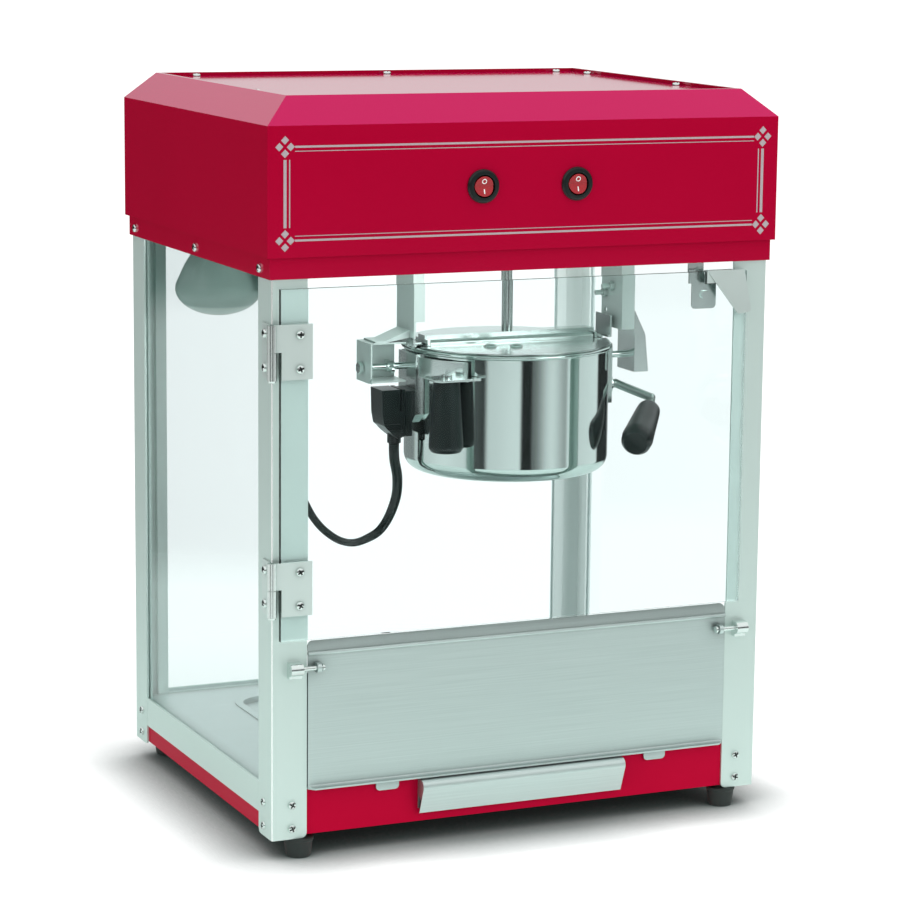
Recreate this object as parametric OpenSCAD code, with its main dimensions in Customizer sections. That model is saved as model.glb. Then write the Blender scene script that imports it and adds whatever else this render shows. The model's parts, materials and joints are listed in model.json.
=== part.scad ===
// Table-top kettle popcorn maker: a glazed cabinet between a base and a sheet-metal roof, with a
// tilting kettle hung from the ceiling. X runs to the right, Y to the back and Z up. The origin is
// on the floor under the middle of the machine.

/* [Cabinet] */
// Width of the roof over its side faces
roof_w = 380; // [370:1:440]
// Depth of the roof over its front and back faces
roof_d = 302; // [296:1:380]
// Height of the upright faces of the roof
roof_h = 86.5; // [80:0.5:120]
// Height of the roof's sloping shoulders
bevel_h = 18.5; // [12:0.5:26]
// Depth of the front shoulder, seen from above
bevel_front = 18.5; // [12:0.5:26]
// Depth of the back shoulder, seen from above
bevel_back = 14.5; // [10:0.5:26]
// Width of each side shoulder, seen from above
bevel_side = 20; // [12:0.5:26]
// Depth of the top panel below the rim
panel_sink = 2.5; // [1.5:0.5:4]
// Height of the glazed part, from the foot of the posts to the trim band
cabinet_h = 383; // [378:1:430]
// Height of the trim band
band_h = 14.5; // [10:0.5:20]
// Step from the roof's face in to the band's face
band_in = 2.5; // [1:0.5:5]
// Thickness of the band's wall
band_t = 2; // [1.5:0.1:3]
// Thickness of the folded sheet steel
sheet = 1.2; // [0.8:0.1:1.6]

/* [Posts, rails and glass] */
// Leg of the angle posts
post_w = 25.4; // [20:0.2:30]
// Thickness of the angle posts
post_t = 1.5; // [1.2:0.1:2]
// Depth of the channel that takes the edge of a pane
channel_d = 8; // [6:0.5:10]
// Thickness of the fixed panes
pane_t = 3; // [2.5:0.5:4]
// Space on each side of a pane in its channel
pane_gap = 0.3; // [0.2:0.05:0.5]
// Height of the rails
rail_h = 21.5; // [16:0.5:26]
// Height of the rails' lower edge above the foot of the posts
rail_up = 14.5; // [12:0.5:18]

/* [Base and drawer] */
// Height of the rubber feet
foot_h = 14; // [8:1:24]
// Radius of a foot where it meets the base
foot_r = 10.5; // [8:0.5:14]
// Height of the base's top edge at the front, above the foot of the posts
fascia_h = 33.5; // [32:0.5:44]
// Width of the crumb drawer
drawer_w = 150; // [120:1:200]
// Depth of the crumb drawer, front to back
drawer_d = 228; // [150:1:250]
// Height of the drawer's walls
drawer_h = 14; // [10:0.5:15]
// How far the drawer's nose stands out from the posts
drawer_nose = 9.5; // [7:0.5:14]
// Width of the pressed sifter tray
sifter_w = 240; // [180:1:270]
// Depth of the pressed sifter tray, front to back
sifter_d = 222; // [180:1:240]

/* [Door] */
// Thickness of the door's glass
door_t = 4; // [3:0.5:5]
// Space between the door and the posts
door_gap = 0.5; // [0.4:0.1:1]
// Radius of the hinge knuckles
knuckle_r = 3.2; // [3:0.1:3.6]
// Radius of the hinge pins
hinge_pin_r = 1.5; // [1.2:0.1:1.8]
// Height of a hinge
hinge_h = 37; // [30:1:44]
// Distance of the upper hinge's top edge below the trim band
hinge_hi = 29.5; // [24:0.5:60]
// Height of the lower hinge's foot above the foot of the posts
hinge_lo = 156.5; // [150:0.5:200]

/* [Serving panel] */
// Height of the panel's pivots above the foot of the posts
flap_pivot = 119.5; // [110:0.5:124]
// Radius of the panel's pivot pins
flap_pin_r = 1.6; // [1.2:0.1:2]
// Height of the strip above the fold of the panel
strip_h = 8.5; // [6:0.5:9]

/* [Kettle] */
// Distance of the kettle to the right of the middle
kettle_x = 52; // [40:1:60]
// Outer radius of the kettle
kettle_r = 75; // [70:0.5:76]
// Height of the kettle
kettle_h = 91; // [80:1:96]
// Depth of the tilting axis below the ceiling
axis_drop = 90; // [90:0.5:96]
// Depth of the tilting axis below the kettle's rim
axis_under_rim = 12; // [11:0.5:13]
// Radius of the kettle's pivot pins
pivot_r = 2.5; // [2:0.1:3]
// Radius of the stirrer's shaft
shaft_r = 4; // [3.5:0.1:4.4]
// Width of the crossbar
bar_w = 12; // [11:0.5:14]
// Height of the crossbar
bar_h = 8; // [6:0.5:10]

/* [Fits] */
// Running clearance of pins and shafts, on the radius
run = 0.06; // [0.02:0.01:0.1]
// Assembly clearance between neighbouring pieces
gap = 0.3; // [0.2:0.05:0.4]
// Radius of the machine screws
screw_r = 1.5; // [1.2:0.1:1.8]
// Radius of the heads of the machine screws
head_r = 3; // [2.6:0.1:3.6]

/* [Hidden] */
$fn = 64;

// Faces of the cabinet
lip_reach = drawer_nose - band_in - band_t;   // in front of the roof
inlet_reach = 5;                              // behind the roof
yf = -(roof_d + lip_reach + inlet_reach) / 2 + lip_reach;
yb = yf + roof_d;
xr = roof_w / 2;
px = xr - band_in - band_t;                   // outer face of the posts
pf = yf + band_in + band_t;                   // front face of the posts
pb = yb - band_in - band_t;                   // back face of the posts
z0 = foot_h;                                  // foot of the posts
band_z = z0 + cabinet_h;
roof_z = band_z + band_h;
shoulder_z = roof_z + roof_h;
top_z = shoulder_z + bevel_h;
ceil_z = band_z + 5;

// Base
base_z = z0 + 2;
rail_z = z0 + rail_up;
rail_top = rail_z + rail_h;
web_z = rail_top - channel_d;                 // top of the rails' web, where the panes stand
wall_x = px - post_t;                         // outer face of the base's walls
wall_f = pf + post_t;
wall_b = pb - post_t;
fascia_z = z0 + fascia_h;
deck_z = fascia_z - 0.5;
lip_in = wall_x - pane_t - 2 * pane_gap - post_t;   // inner face of the rails
lip_b = wall_b - pane_t - 2 * pane_gap - post_t;
return_z = web_z - post_t;                    // top of the base's walls
shelf_z = z0 + 9.7;                           // top of the runners' shelves
drawer_z = shelf_z + gap;
sifter_yc = (wall_f + lip_b) / 2 - 4;

// Door and hinges
door_back = pf - door_gap;
door_front = door_back - door_t;
door_x0 = -px + 5;
door_x1 = px - 17.5;
door_z0 = z0 + flap_pivot + 19.5;
door_z1 = band_z - 6.3;
HINGES = [cabinet_h - hinge_hi - hinge_h, hinge_lo];    // feet of the hinges above the posts' feet
hinge_x = -px - 1.3;
hinge_y = pf - 4;
leaf_t = 1.2;

// Serving panel
flap_y = pf - 5;                              // pivot axis
flap_z = z0 + flap_pivot;
fold_z = flap_z + 9;
flap_x = px - post_w - 0.5;                   // half width of the panel
panel_y = pf - 0.8;                           // front face of the panel

// Kettle: tilting axis, rim, bottom
kx = kettle_x;
axis_z = ceil_z - axis_drop;
rim_z = axis_z + axis_under_rim;
pot_z = rim_z - kettle_h;
bead_r = 1.6;
rim_r = kettle_r + bead_r + 0.9;              // outermost radius of the rim
lid_z = rim_z + bead_r + gap;
bar_z = rim_z + 2;
lid_axis_z = lid_z + 2.4;
lid_axis_y = bar_w / 2 + 2.6;
lid_pin_r = 1;
hem_r = 2;
bar_x = kettle_r - 7;                         // half length of the crossbar
ear_x = kettle_r + 5;                         // outer face of the kettle's ears
arm_x = rim_r + 3.5;                          // inner face of the left arm
arm_xr = rim_r + 6.5;                         // inner face of the right arm
bracket_x = arm_xr + 14;                      // right bracket's plate
crank_drop = 22;                              // crank below the tilting axis
fork_z = ceil_z - 6;
tang_z = fork_z + 8;
shoulder_top = fork_z - 1.5;

// Lamp
lamp_x = -xr + 53;
lamp_y = yb - 62;
lamp_r = 31.5;

// Round points that the kettle's cord passes, by hand
CORD = [
    [-37, 0, 256], [-37, 0, 250], [-36, 1, 242], [-33, 3, 230], [-32, 7, 215], [-35, 13, 199],
    [-40, 20, 187], [-47, 28, 180], [-54, 36, 176], [-62, 44, 177], [-70, 52, 183], [-76, 58, 191],
    [-80, 63, 200], [-85, 67, 213], [-89, 70, 229], [-91, 73, 250], [-92, 75, 275], [-92, 76, 305],
    [-92, 77, 335], [-92, 77, 365], [-92, 77, 391],
];
cord_w = 8;
cord_t = 4;

// Opening and ledge of the top panel
rim_x = xr - bevel_side - 3;
rim_f = yf + bevel_front + 3;
rim_b = yb - bevel_back - 3;
seat_z = top_z - panel_sink - sheet;          // under the top panel
ledge = 9;

// Places of the screws, so that holes and screws agree; the panel's as parts of the ledge's half size
TOP_SCREWS = [[-0.87, 1], [0.06, 1], [0.93, 1], [1, 0.75], [1, -0.4], [-1, -0.45], [-0.87, -1], [0.06, -1], [0.93, -1]];
function top_screw(p) = [p[0] * (rim_x - ledge / 2), (rim_f + rim_b) / 2 + p[1] * ((rim_b - rim_f) / 2 - ledge / 2)];
FOOT_SCREWS = [z0 + 7.5, z0 + 24];
TRIM_Y = [pf + 17, (pf + pb) / 2, pb - 12];
SWITCH_X = [-36, 34];
switch_z = roof_z + 43.5;
bezel_r = 11.5;
rocker_r = 6.8;
rocker_y = 1.5;                               // pivot behind the roof's front face
rocker_pin_r = 1.2;

module post_color() { color([0.74, 0.79, 0.77]) children(); }
module red() { color([0.66, 0.02, 0.16]) children(); }
module steel() { color([0.72, 0.77, 0.76]) children(); }
module chrome() { color([0.82, 0.86, 0.85]) children(); }
module black() { color([0.10, 0.11, 0.11]) children(); }
module glass() { color([0.85, 0.96, 0.93, 0.3]) children(); }

// A box by its two corners
module box(a, b) { translate(a) cube(b - a); }

// A cylinder along X, Y or Z, between two places on that axis
module along_x(x0, x1, y, z, r) { translate([x0, y, z]) rotate([0, 90, 0]) cylinder(h = x1 - x0, r = r); }
module along_y(y0, y1, x, z, r) { translate([x, y1, z]) rotate([90, 0, 0]) cylinder(h = y1 - y0, r = r); }
module along_z(z1, z2, x, y, r) { translate([x, y, z1]) cylinder(h = z2 - z1, r = r); }

// An extrusion along X of an outline drawn in Y and Z, and one along Y of an outline in X and Z
module run_x(x0, x1) { translate([x0, 0, 0]) rotate([90, 0, 90]) linear_extrude(x1 - x0) children(); }
module run_y(y0, y1) { translate([0, y1, 0]) rotate([90, 0, 0]) linear_extrude(y1 - y0) children(); }

// A pan-head screw that enters along -Z from the origin, with its head above
module screw(shank, r = screw_r, head = head_r) {
    translate([0, 0, -shank]) cylinder(h = shank, r = r, $fn = 24);
    rotate_extrude($fn = 32)
        polygon([[0, 0], [head, 0], [head, head * 0.25], [head * 0.86, head * 0.5],
            [head * 0.5, head * 0.66], [0, head * 0.7]]);
}

// A rounded rectangle
module round_rect(w, h, r) {
    square([w - 2 * r, h], center = true);
    square([w, h - 2 * r], center = true);
    for (sx = [-1, 1], sy = [-1, 1])
        translate([sx * (w / 2 - r), sy * (h / 2 - r)]) circle(r, $fn = 32);
}

// ---------- roof ----------

// The roof's hipped form, taken in by t on every side
module roof_form(t, z_low, z_high) {
    intersection() {
        run_x(-xr + t, xr - t) polygon([[yf + t, z_low], [yb - t, z_low], [yb - t, shoulder_z - t * 0.4],
            [yb - bevel_back - t * 0.4, z_high], [yf + bevel_front + t * 0.4, z_high], [yf + t, shoulder_z - t * 0.4]]);
        run_y(yf + t, yb - t) polygon([[-xr + t, z_low], [xr - t, z_low], [xr - t, shoulder_z - t * 0.4],
            [xr - bevel_side - t * 0.4, z_high], [-xr + bevel_side + t * 0.4, z_high], [-xr + t, shoulder_z - t * 0.4]]);
    }
}

module roof_canopy() {
    red() difference() {
        roof_form(0, roof_z, top_z);
        roof_form(sheet, roof_z + sheet, seat_z - sheet);
        box([-xr + 10, yf + 10, roof_z - 1], [xr - 10, yb - 10, roof_z + 2 * sheet]);
        box([-rim_x, rim_f, seat_z], [rim_x, rim_b, top_z + 1]);
        box([-rim_x + ledge, rim_f + ledge, seat_z - 4], [rim_x - ledge, rim_b - ledge, top_z + 1]);
        for (x = SWITCH_X) along_y(yf - 1, yf + 5, x, switch_z, bezel_r - 1.4);
        for (p = TOP_SCREWS) along_z(seat_z - 4, seat_z + 1, top_screw(p)[0], top_screw(p)[1], screw_r + gap);
        along_y(yb - 5, yb + 1, xr - 60, roof_z + 20, 6.2);
    }
}

module roof_top_panel() {
    red() difference() {
        box([-rim_x + gap, rim_f + gap, seat_z], [rim_x - gap, rim_b - gap, seat_z + sheet]);
        for (p = TOP_SCREWS) along_z(seat_z - 4, top_z, top_screw(p)[0], top_screw(p)[1], screw_r + gap);
    }
}

module roof_top_screws() {
    chrome() for (p = TOP_SCREWS) translate([top_screw(p)[0], top_screw(p)[1], seat_z + sheet]) screw(4);
}

module trim_band() {
    red() difference() {
        box([-xr + band_in, yf + band_in, band_z], [xr - band_in, yb - band_in, roof_z]);
        box([-px, pf, band_z - 1], [px, pb, roof_z + 1]);
        for (y = TRIM_Y, s = [-1, 1])
            along_x(s > 0 ? px - 1 : -px - band_t - 1, s > 0 ? px + band_t + 1 : -px + 1, y, band_z + 6, screw_r + gap);
    }
}

module trim_screws() {
    chrome() for (y = TRIM_Y, s = [-1, 1])
        translate([s * (px + band_t), y, band_z + 6]) rotate([0, s * 90, 0]) screw(band_t + post_t - 0.2);
}

module ceiling_plate() {
    notch = post_w + gap;
    steel() difference() {
        box([-px, pf, ceil_z], [px, pb, roof_z]);
        box([-px + sheet, pf + sheet, ceil_z + sheet], [px - sheet, pb - sheet, roof_z + 1]);
        for (sx = [-1, 1], y = [pf, pb])
            translate([sx * px, y, roof_z]) cube([2 * notch, 2 * notch, 4 * band_h], center = true);
        along_z(ceil_z - 1, ceil_z + 3, kx, 0, 27);
        along_z(ceil_z - 1, ceil_z + 3, lamp_x, lamp_y, 19);
        along_z(ceil_z - 1, ceil_z + 3, CORD[20][0], CORD[20][1], 7.2);
        for (y = TRIM_Y, s = [-1, 1])
            along_x(s > 0 ? px - 6 : -px - 1, s > 0 ? px + 1 : -px + 6, y, band_z + 6, screw_r + gap);
        for (p = HANGER) along_z(ceil_z - 1, ceil_z + 3, p[0], p[1], screw_r + gap);
    }
}

// ---------- drive in the roof ----------

module motor_bracket() {
    steel() difference() {
        union() {
            box([kx - 40, -34, ceil_z + 26], [kx + 40, 34, ceil_z + 28]);
            for (s = [-1, 1]) {
                box([s > 0 ? kx + 38 : kx - 40, -34, ceil_z + sheet], [s > 0 ? kx + 40 : kx - 38, 34, ceil_z + 28]);
                box([s > 0 ? kx + 38 : kx - 54, -34, ceil_z + sheet], [s > 0 ? kx + 54 : kx - 38, 34, ceil_z + sheet + 2]);
            }
        }
        along_z(ceil_z + 20, ceil_z + 30, kx, 0, 6);
    }
}

module gear_motor() {
    gz = ceil_z + 28;
    color([0.6, 0.6, 0.58]) difference() {
        union() {
            translate([kx, 6, gz]) linear_extrude(24) round_rect(66, 52, 8);
            along_z(gz + 24, gz + 62, kx, 14, 24);
            along_z(gz + 62, gz + 66, kx, 14, 9);
        }
        along_z(gz - 1, gz + 18, kx, 0, shaft_r + run);
    }
}

module drive_coupling() {
    chrome() difference() {
        union() {
            along_z(fork_z, fork_z + 22, kx, 0, 9);
            along_z(fork_z + 20, ceil_z + 44, kx, 0, shaft_r);
        }
        box([kx - 2.4, -12, fork_z - 1], [kx + 2.4, 12, tang_z + 1.2]);
    }
}

// ---------- lamp ----------

module lamp_holder() {
    black() difference() {
        union() {
            along_z(ceil_z + sheet, ceil_z + sheet + 2, lamp_x, lamp_y, 26);
            along_z(ceil_z + sheet, ceil_z + 52, lamp_x, lamp_y, 20);
        }
        along_z(ceil_z - 1, ceil_z + 46, lamp_x, lamp_y, 16.4);
    }
}

module lamp_bulb() {
    color([0.95, 0.97, 0.95]) translate([lamp_x, lamp_y, 0]) rotate_extrude($fn = 64) {
        difference() {
            union() {
                // frosted face and bowl
                intersection() {
                    translate([0, ceil_z - 40]) scale([1, 0.62]) circle(lamp_r);
                    translate([0, ceil_z - 59]) square([lamp_r, 40]);
                }
                polygon([[0, ceil_z - 44], [lamp_r - 0.3, ceil_z - 42], [lamp_r - 1.5, ceil_z - 34],
                    [lamp_r - 7, ceil_z - 22], [lamp_r - 14, ceil_z - 11], [15.5, ceil_z], [15.5, ceil_z + 8],
                    [13.2, ceil_z + 14], [13.2, ceil_z + 36], [6, ceil_z + 40], [0, ceil_z + 40]]);
            }
            translate([-50, ceil_z - 100]) square([50, 200]);
        }
    }
    // contact of the screw cap, on the holder's spring
    color([0.8, 0.8, 0.78]) along_z(ceil_z + 40, ceil_z + 46, lamp_x, lamp_y, 3);
}

module lamp_shield() {
    sx = lamp_x + lamp_r + 3;
    steel() {
        // side plate, towards the kettle, hung from the ceiling by its flange
        translate([sx, 0, 0]) rotate([90, 0, 90]) linear_extrude(sheet) difference() {
            polygon([[lamp_y - 36, ceil_z], [lamp_y - 36, ceil_z - 38], [lamp_y - 28, ceil_z - 46],
                [lamp_y + 30, ceil_z - 46], [lamp_y + 30, ceil_z]]);
            translate([lamp_y - 4, ceil_z - 8]) circle(2, $fn = 24);
        }
        box([sx - 10, lamp_y - 36, ceil_z - sheet], [sx + sheet, lamp_y + 30, ceil_z]);
        // front wing, bent round towards the window
        box([sx - 13, lamp_y - 36, ceil_z - 38], [sx + sheet, lamp_y - 36 + sheet, ceil_z - 2]);
    }
}

// ---------- posts, panes and rails ----------

// Outline of the front left post, with its corner at the origin
module angle_outline() {
    polygon([[0, 0], [post_w, 0], [post_w, post_t], [post_t, post_t], [post_t, post_w], [0, post_w]]);
}

// Channel that takes a pane along the leg in Y
module channel_outline() {
    g = pane_t + 2 * pane_gap;
    polygon([[post_t - 0.01, post_w - channel_d], [2 * post_t + g, post_w - channel_d], [2 * post_t + g, post_w],
        [post_t + g, post_w], [post_t + g, post_w - channel_d + post_t], [post_t - 0.01, post_w - channel_d + post_t]]);
}

module post(back = false) {
    difference() {
        translate([0, 0, z0]) linear_extrude(roof_z - z0) angle_outline();
        // rounded outer corners of the two legs' feet
        for (m = [0, 1]) mirror([m, -m, 0]) translate([post_w, -1, z0]) rotate([-90, 0, 0]) linear_extrude(post_t + 2)
            difference() {
                translate([-4, -4]) square(5);
                translate([-4, -4]) circle(4, $fn = 32);
            }
        for (z = FOOT_SCREWS, m = [0, 1]) mirror([m, -m, 0]) along_y(-1, post_t + 1, 14.5, z, screw_r + gap);
        along_x(-1, post_t + 1, back ? 12 : 17, band_z + 6, screw_r + gap);
    }
    // the channels start above the rails
    translate([0, 0, web_z]) linear_extrude(ceil_z - web_z - gap) {
        channel_outline();
        if (back) mirror([1, -1]) channel_outline();
    }
}

module post_front_left() { post_color() translate([-px, pf, 0]) post(); }
module post_front_right() { post_color() translate([px, pf, 0]) mirror([1, 0, 0]) post(); }
module post_back_left() { post_color() translate([-px, pb, 0]) mirror([0, 1, 0]) post(true); }
module post_back_right() { post_color() translate([px, pb, 0]) mirror([1, 0, 0]) mirror([0, 1, 0]) post(true); }

// Screws through the feet of the posts into the base
module post_screws() {
    chrome() for (sx = [-1, 1], sy = [-1, 1], z = FOOT_SCREWS) {
        y = sy < 0 ? pf : pb;
        translate([sx * (px - 14.5), y, z]) rotate([-sy * 90, 0, 0]) screw(post_t + sheet + 2);
        translate([sx * px, y - sy * 14.5, z]) rotate([0, sx * 90, 0]) screw(post_t + sheet + 2);
    }
}

pane_end = post_w - channel_d + post_t + pane_gap;    // from a post's face to a pane's edge
pane_x = wall_x - pane_gap;                           // outer face of the side panes
module pane_side(s) {
    x0 = s > 0 ? pane_x - pane_t : -pane_x;
    glass() box([x0, pf + pane_end, web_z], [x0 + pane_t, pb - pane_end, ceil_z - gap]);
}
module pane_left() { pane_side(-1); }
module pane_right() { pane_side(1); }
module pane_back() {
    glass() box([-px + pane_end, wall_b - pane_gap - pane_t, web_z], [px - pane_end, wall_b - pane_gap, ceil_z - gap]);
}

// Outline of a rail across its length, with its outer face at x = 0 and its inside to the right
module rail_outline() {
    g = pane_t + 2 * pane_gap;
    polygon([[0, rail_z], [post_t, rail_z], [post_t, web_z - post_t], [2 * post_t + g, web_z - post_t],
        [2 * post_t + g, rail_top - 2], [post_t + g, rail_top - 2], [post_t + g, web_z], [post_t, web_z],
        [post_t, rail_top], [0, rail_top]]);
}
rail_f = pf + post_w + gap;
rail_b = pb - post_w - gap;
rail_color = [0.70, 0.74, 0.72];
module rail_left() { color(rail_color) translate([-px, 0, 0]) run_y(rail_f, rail_b) rail_outline(); }
module rail_right() { color(rail_color) mirror([1, 0, 0]) translate([-px, 0, 0]) run_y(rail_f, rail_b) rail_outline(); }
module rail_back() {
    color(rail_color) translate([0, pb, 0]) rotate([0, 0, 180]) run_x(-px + post_w + gap, px - post_w - gap) rail_outline();
}

// ---------- base ----------

window_x = drawer_w / 2 + 1;                  // half width of the drawer's opening
module base_body() {
    red() difference() {
        union() {
            // tray with its front wall carried up as the fascia
            difference() {
                box([-wall_x, wall_f, base_z], [wall_x, wall_b, return_z]);
                box([-wall_x + sheet, wall_f + sheet, base_z + sheet], [wall_x - sheet, wall_b - sheet, return_z - sheet]);
                box([-wall_x + 11, wall_f + 11, return_z - 2 * sheet], [wall_x - 11, wall_b - 11, return_z + 1]);
            }
            box([-wall_x, wall_f, return_z - 1], [wall_x, wall_f + sheet, fascia_z]);
        }
        box([-window_x, wall_f - 1, drawer_z - 0.5], [window_x, wall_f + sheet + 1, return_z - sheet]);
        for (sx = [-1, 1], sy = [-1, 1], z = FOOT_SCREWS) {
            y = sy < 0 ? pf : pb;
            along_y(y - 6, y + 6, sx * (px - 14.5), z, screw_r + gap);
            along_x(sx * px - 6, sx * px + 6, y - sy * 14.5, z, screw_r + gap);
        }
    }
}

// Pressed floor of the cabinet, standing on the base's return flange
module deck() {
    x = lip_in - gap;
    steel() difference() {
        box([-x, wall_f + sheet + gap, return_z], [x, lip_b - gap, deck_z]);
        box([-x + sheet, wall_f + 2 * sheet + gap, return_z - 1], [x - sheet, lip_b - gap - sheet, deck_z - sheet]);
        translate([0, sifter_yc, deck_z - 5]) linear_extrude(10) round_rect(sifter_w, sifter_d, 20);
    }
}

// Removable pressed tray whose slots let loose kernels fall into the drawer
module kernel_sifter() {
    w = sifter_w - 2 * gap;
    d = sifter_d - 2 * gap;
    deep = 3;
    slots_x = floor((drawer_w - 20) / 16);
    slots_y = 4;
    steel() translate([0, sifter_yc, 0]) difference() {
        union() {
            translate([0, 0, deck_z]) linear_extrude(0.8) round_rect(w + 10, d + 8, 24);
            translate([0, 0, deck_z - deep - 0.8]) linear_extrude(deep + 1) round_rect(w, d, 19.6);
        }
        translate([0, 0, deck_z - deep]) linear_extrude(deep + 2) round_rect(w - 2, d - 2, 18.6);
        for (i = [0 : slots_x - 1], j = [0 : slots_y - 1])
            translate([(i - (slots_x - 1) / 2) * 16, (j - (slots_y - 1) / 2) * 38 - 8, deck_z - deep - 2])
                linear_extrude(4) round_rect(8.5, 26, 4.2);
    }
}

module drawer_runners() {
    x = drawer_w / 2 + gap;
    steel() for (s = [-1, 1]) mirror([s > 0 ? 1 : 0, 0, 0]) {
        box([-x - sheet, wall_f + 14, base_z + sheet], [-x, wall_f + drawer_d + 8, shelf_z + 9]);
        box([-x, wall_f + 14, shelf_z - sheet], [-x + 8, wall_f + drawer_d + 8, shelf_z]);
        box([-x - 9, wall_f + 14, base_z + sheet], [-x, wall_f + drawer_d + 8, base_z + 2 * sheet]);
    }
}

// Tapered rubber feet; each neck passes the post's foot and meets the base
module feet() {
    black() for (sx = [-1, 1], y = [wall_f + 5.6, wall_b - 5.6])
        translate([sx * (px - 22), y, 0]) rotate_extrude($fn = 48)
            polygon([[0, 0], [foot_r - 3, 0], [foot_r - 2, 1], [foot_r - 0.6, foot_h - 2.6], [foot_r, foot_h - 2],
                [foot_r, foot_h - gap], [5, foot_h - gap], [5, base_z], [0, base_z]]);
}

// Crumb drawer: tray and a bright pull with a rolled nose
module crumb_drawer() {
    x = drawer_w / 2;
    wall = 1;
    zt = drawer_z + drawer_h;
    yl = wall_f - gap;                        // back of the front plate
    pull_x = x + 2.7;
    pull_z = z0 + 8.5;
    nose_r = 4.8;
    nose_y = pf - drawer_nose + nose_r;
    nose_z = fascia_z - 0.5 - nose_r;
    steel() {
        difference() {
            box([-x, yl - 0.2, drawer_z], [x, yl + drawer_d, zt]);
            box([-x + wall, yl + wall, drawer_z + wall], [x - wall, yl + drawer_d - wall, zt + 1]);
        }
        // pull: back plate, rolled nose and sloping face, open below
        run_x(-pull_x, pull_x) difference() {
            union() {
                translate([nose_y, nose_z]) circle(nose_r);
                polygon([[yl - 1.2, pull_z + 3], [yl, pull_z + 3], [yl, nose_z + nose_r], [nose_y, nose_z + nose_r],
                    [nose_y - nose_r * 0.98, nose_z - nose_r * 0.2], [yl - 3.4, pull_z], [yl - 2.2, pull_z]]);
            }
            translate([nose_y, nose_z]) circle(nose_r - 1);
            polygon([[yl - 1.2, pull_z - 1], [yl - 1.2, nose_z + nose_r - 1], [nose_y, nose_z + nose_r - 1],
                [nose_y - (nose_r - 1) * 0.98, nose_z - (nose_r - 1) * 0.2], [yl - 2.3, pull_z - 1]]);
        }
        // cheeks that close the nose at its ends
        for (s = [-1, 1]) run_x(s > 0 ? pull_x - 1 : -pull_x, s > 0 ? pull_x : -pull_x + 1) union() {
            translate([nose_y, nose_z]) circle(nose_r);
            polygon([[yl - 0.3, nose_z - 6], [yl - 0.3, nose_z + nose_r], [nose_y, nose_z + nose_r],
                [nose_y - nose_r * 0.98, nose_z - nose_r * 0.2], [yl - 5, nose_z - 10]]);
        }
    }
}

// ---------- door ----------

module door_pane() {
    glass() difference() {
        box([door_x0, door_front, door_z0], [door_x1, door_back, door_z1]);
        for (p = LEAF_SCREWS) along_y(door_front - 1, door_back + 1, p[0], p[1], screw_r + gap);
    }
}

LEAF_X = -px + 18;
LEAF_SCREWS = [for (h = HINGES, u = [7, 30]) [LEAF_X, z0 + h + u]];

// Leaves on the posts, with the lower knuckles
module hinge_post_leaves() {
    hinge_pins();
    steel() for (h = HINGES) translate([0, 0, z0 + h]) difference() {
        union() {
            along_z(0, hinge_h / 2 - gap / 2, hinge_x, hinge_y, knuckle_r);
            box([-px - leaf_t, hinge_y, 0], [-px, pf + 15, hinge_h / 2 - gap / 2]);
            box([-px - leaf_t, pf + 1, 0], [-px, pf + 15, hinge_h]);
        }
        along_z(-1, hinge_h, hinge_x, hinge_y, hinge_pin_r + 0.01);
        for (u = [7, 30]) along_x(-px - 3, -px + 1, pf + 9, u, screw_r + gap);
    }
}

// Leaves on the glass, with the upper knuckles
module hinge_door_leaves() {
    steel() for (h = HINGES) translate([0, 0, z0 + h]) {
        difference() {
            union() {
                along_z(hinge_h / 2 + gap / 2, hinge_h, hinge_x, hinge_y, knuckle_r);
                box([hinge_x, door_front - leaf_t, hinge_h / 2 + gap / 2], [LEAF_X + 9, door_front, hinge_h]);
                box([door_x0, door_front - leaf_t, 0], [LEAF_X + 9, door_front, hinge_h]);
            }
            along_z(-1, hinge_h + 1, hinge_x, hinge_y, hinge_pin_r + run);
            for (u = [7, 30]) along_y(door_front - 3, door_front + 1, LEAF_X, u, screw_r + gap);
        }
        for (u = [7, 30]) translate([LEAF_X, door_front - leaf_t, u]) rotate([90, 0, 0]) screw(leaf_t + door_t - 0.5);
    }
}

module hinge_pins() {
    chrome() for (h = HINGES) {
        along_z(z0 + h - 1.2, z0 + h, hinge_x, hinge_y, knuckle_r - 0.6);
        along_z(z0 + h - 1, z0 + h + hinge_h - 1, hinge_x, hinge_y, hinge_pin_r);
        for (u = [7, 30]) translate([-px - leaf_t, pf + 9, z0 + h + u]) rotate([0, -90, 0]) screw(leaf_t);
    }
}

// Folded pull that hooks over the door's free top corner
module door_handle() {
    x0 = door_x1 - 31.8;
    x1 = door_x1 - 10;
    t = 0.8;
    chrome() {
        box([x0, door_front - t, door_z1 - 8], [x1, door_front, door_z1 + t]);
        box([x0, door_front - t, door_z1], [x1, door_back + t, door_z1 + t]);
        box([x0, door_back, door_z1 - 9], [x1, door_back + t, door_z1 + t]);
        // tapering blade that stands away from the glass at its foot
        translate([0, door_front, door_z1 + t]) rotate([-7.4, 0, 0]) translate([0, -t, 0]) rotate([90, 0, 0])
            mirror([0, 0, 1]) linear_extrude(t) {
                polygon([[x0, 0], [door_x1 - 2.3, 0], [door_x1 + 1.4, -26.8], [door_x1 - 0.2, -30], [door_x1 - 8, -31],
                    [door_x1 - 9.6, -30]]);
                translate([door_x1 - 0.4, -28]) circle(2, $fn = 32);
                translate([door_x1 - 7.8, -29]) circle(2, $fn = 32);
            }
    }
}

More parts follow.
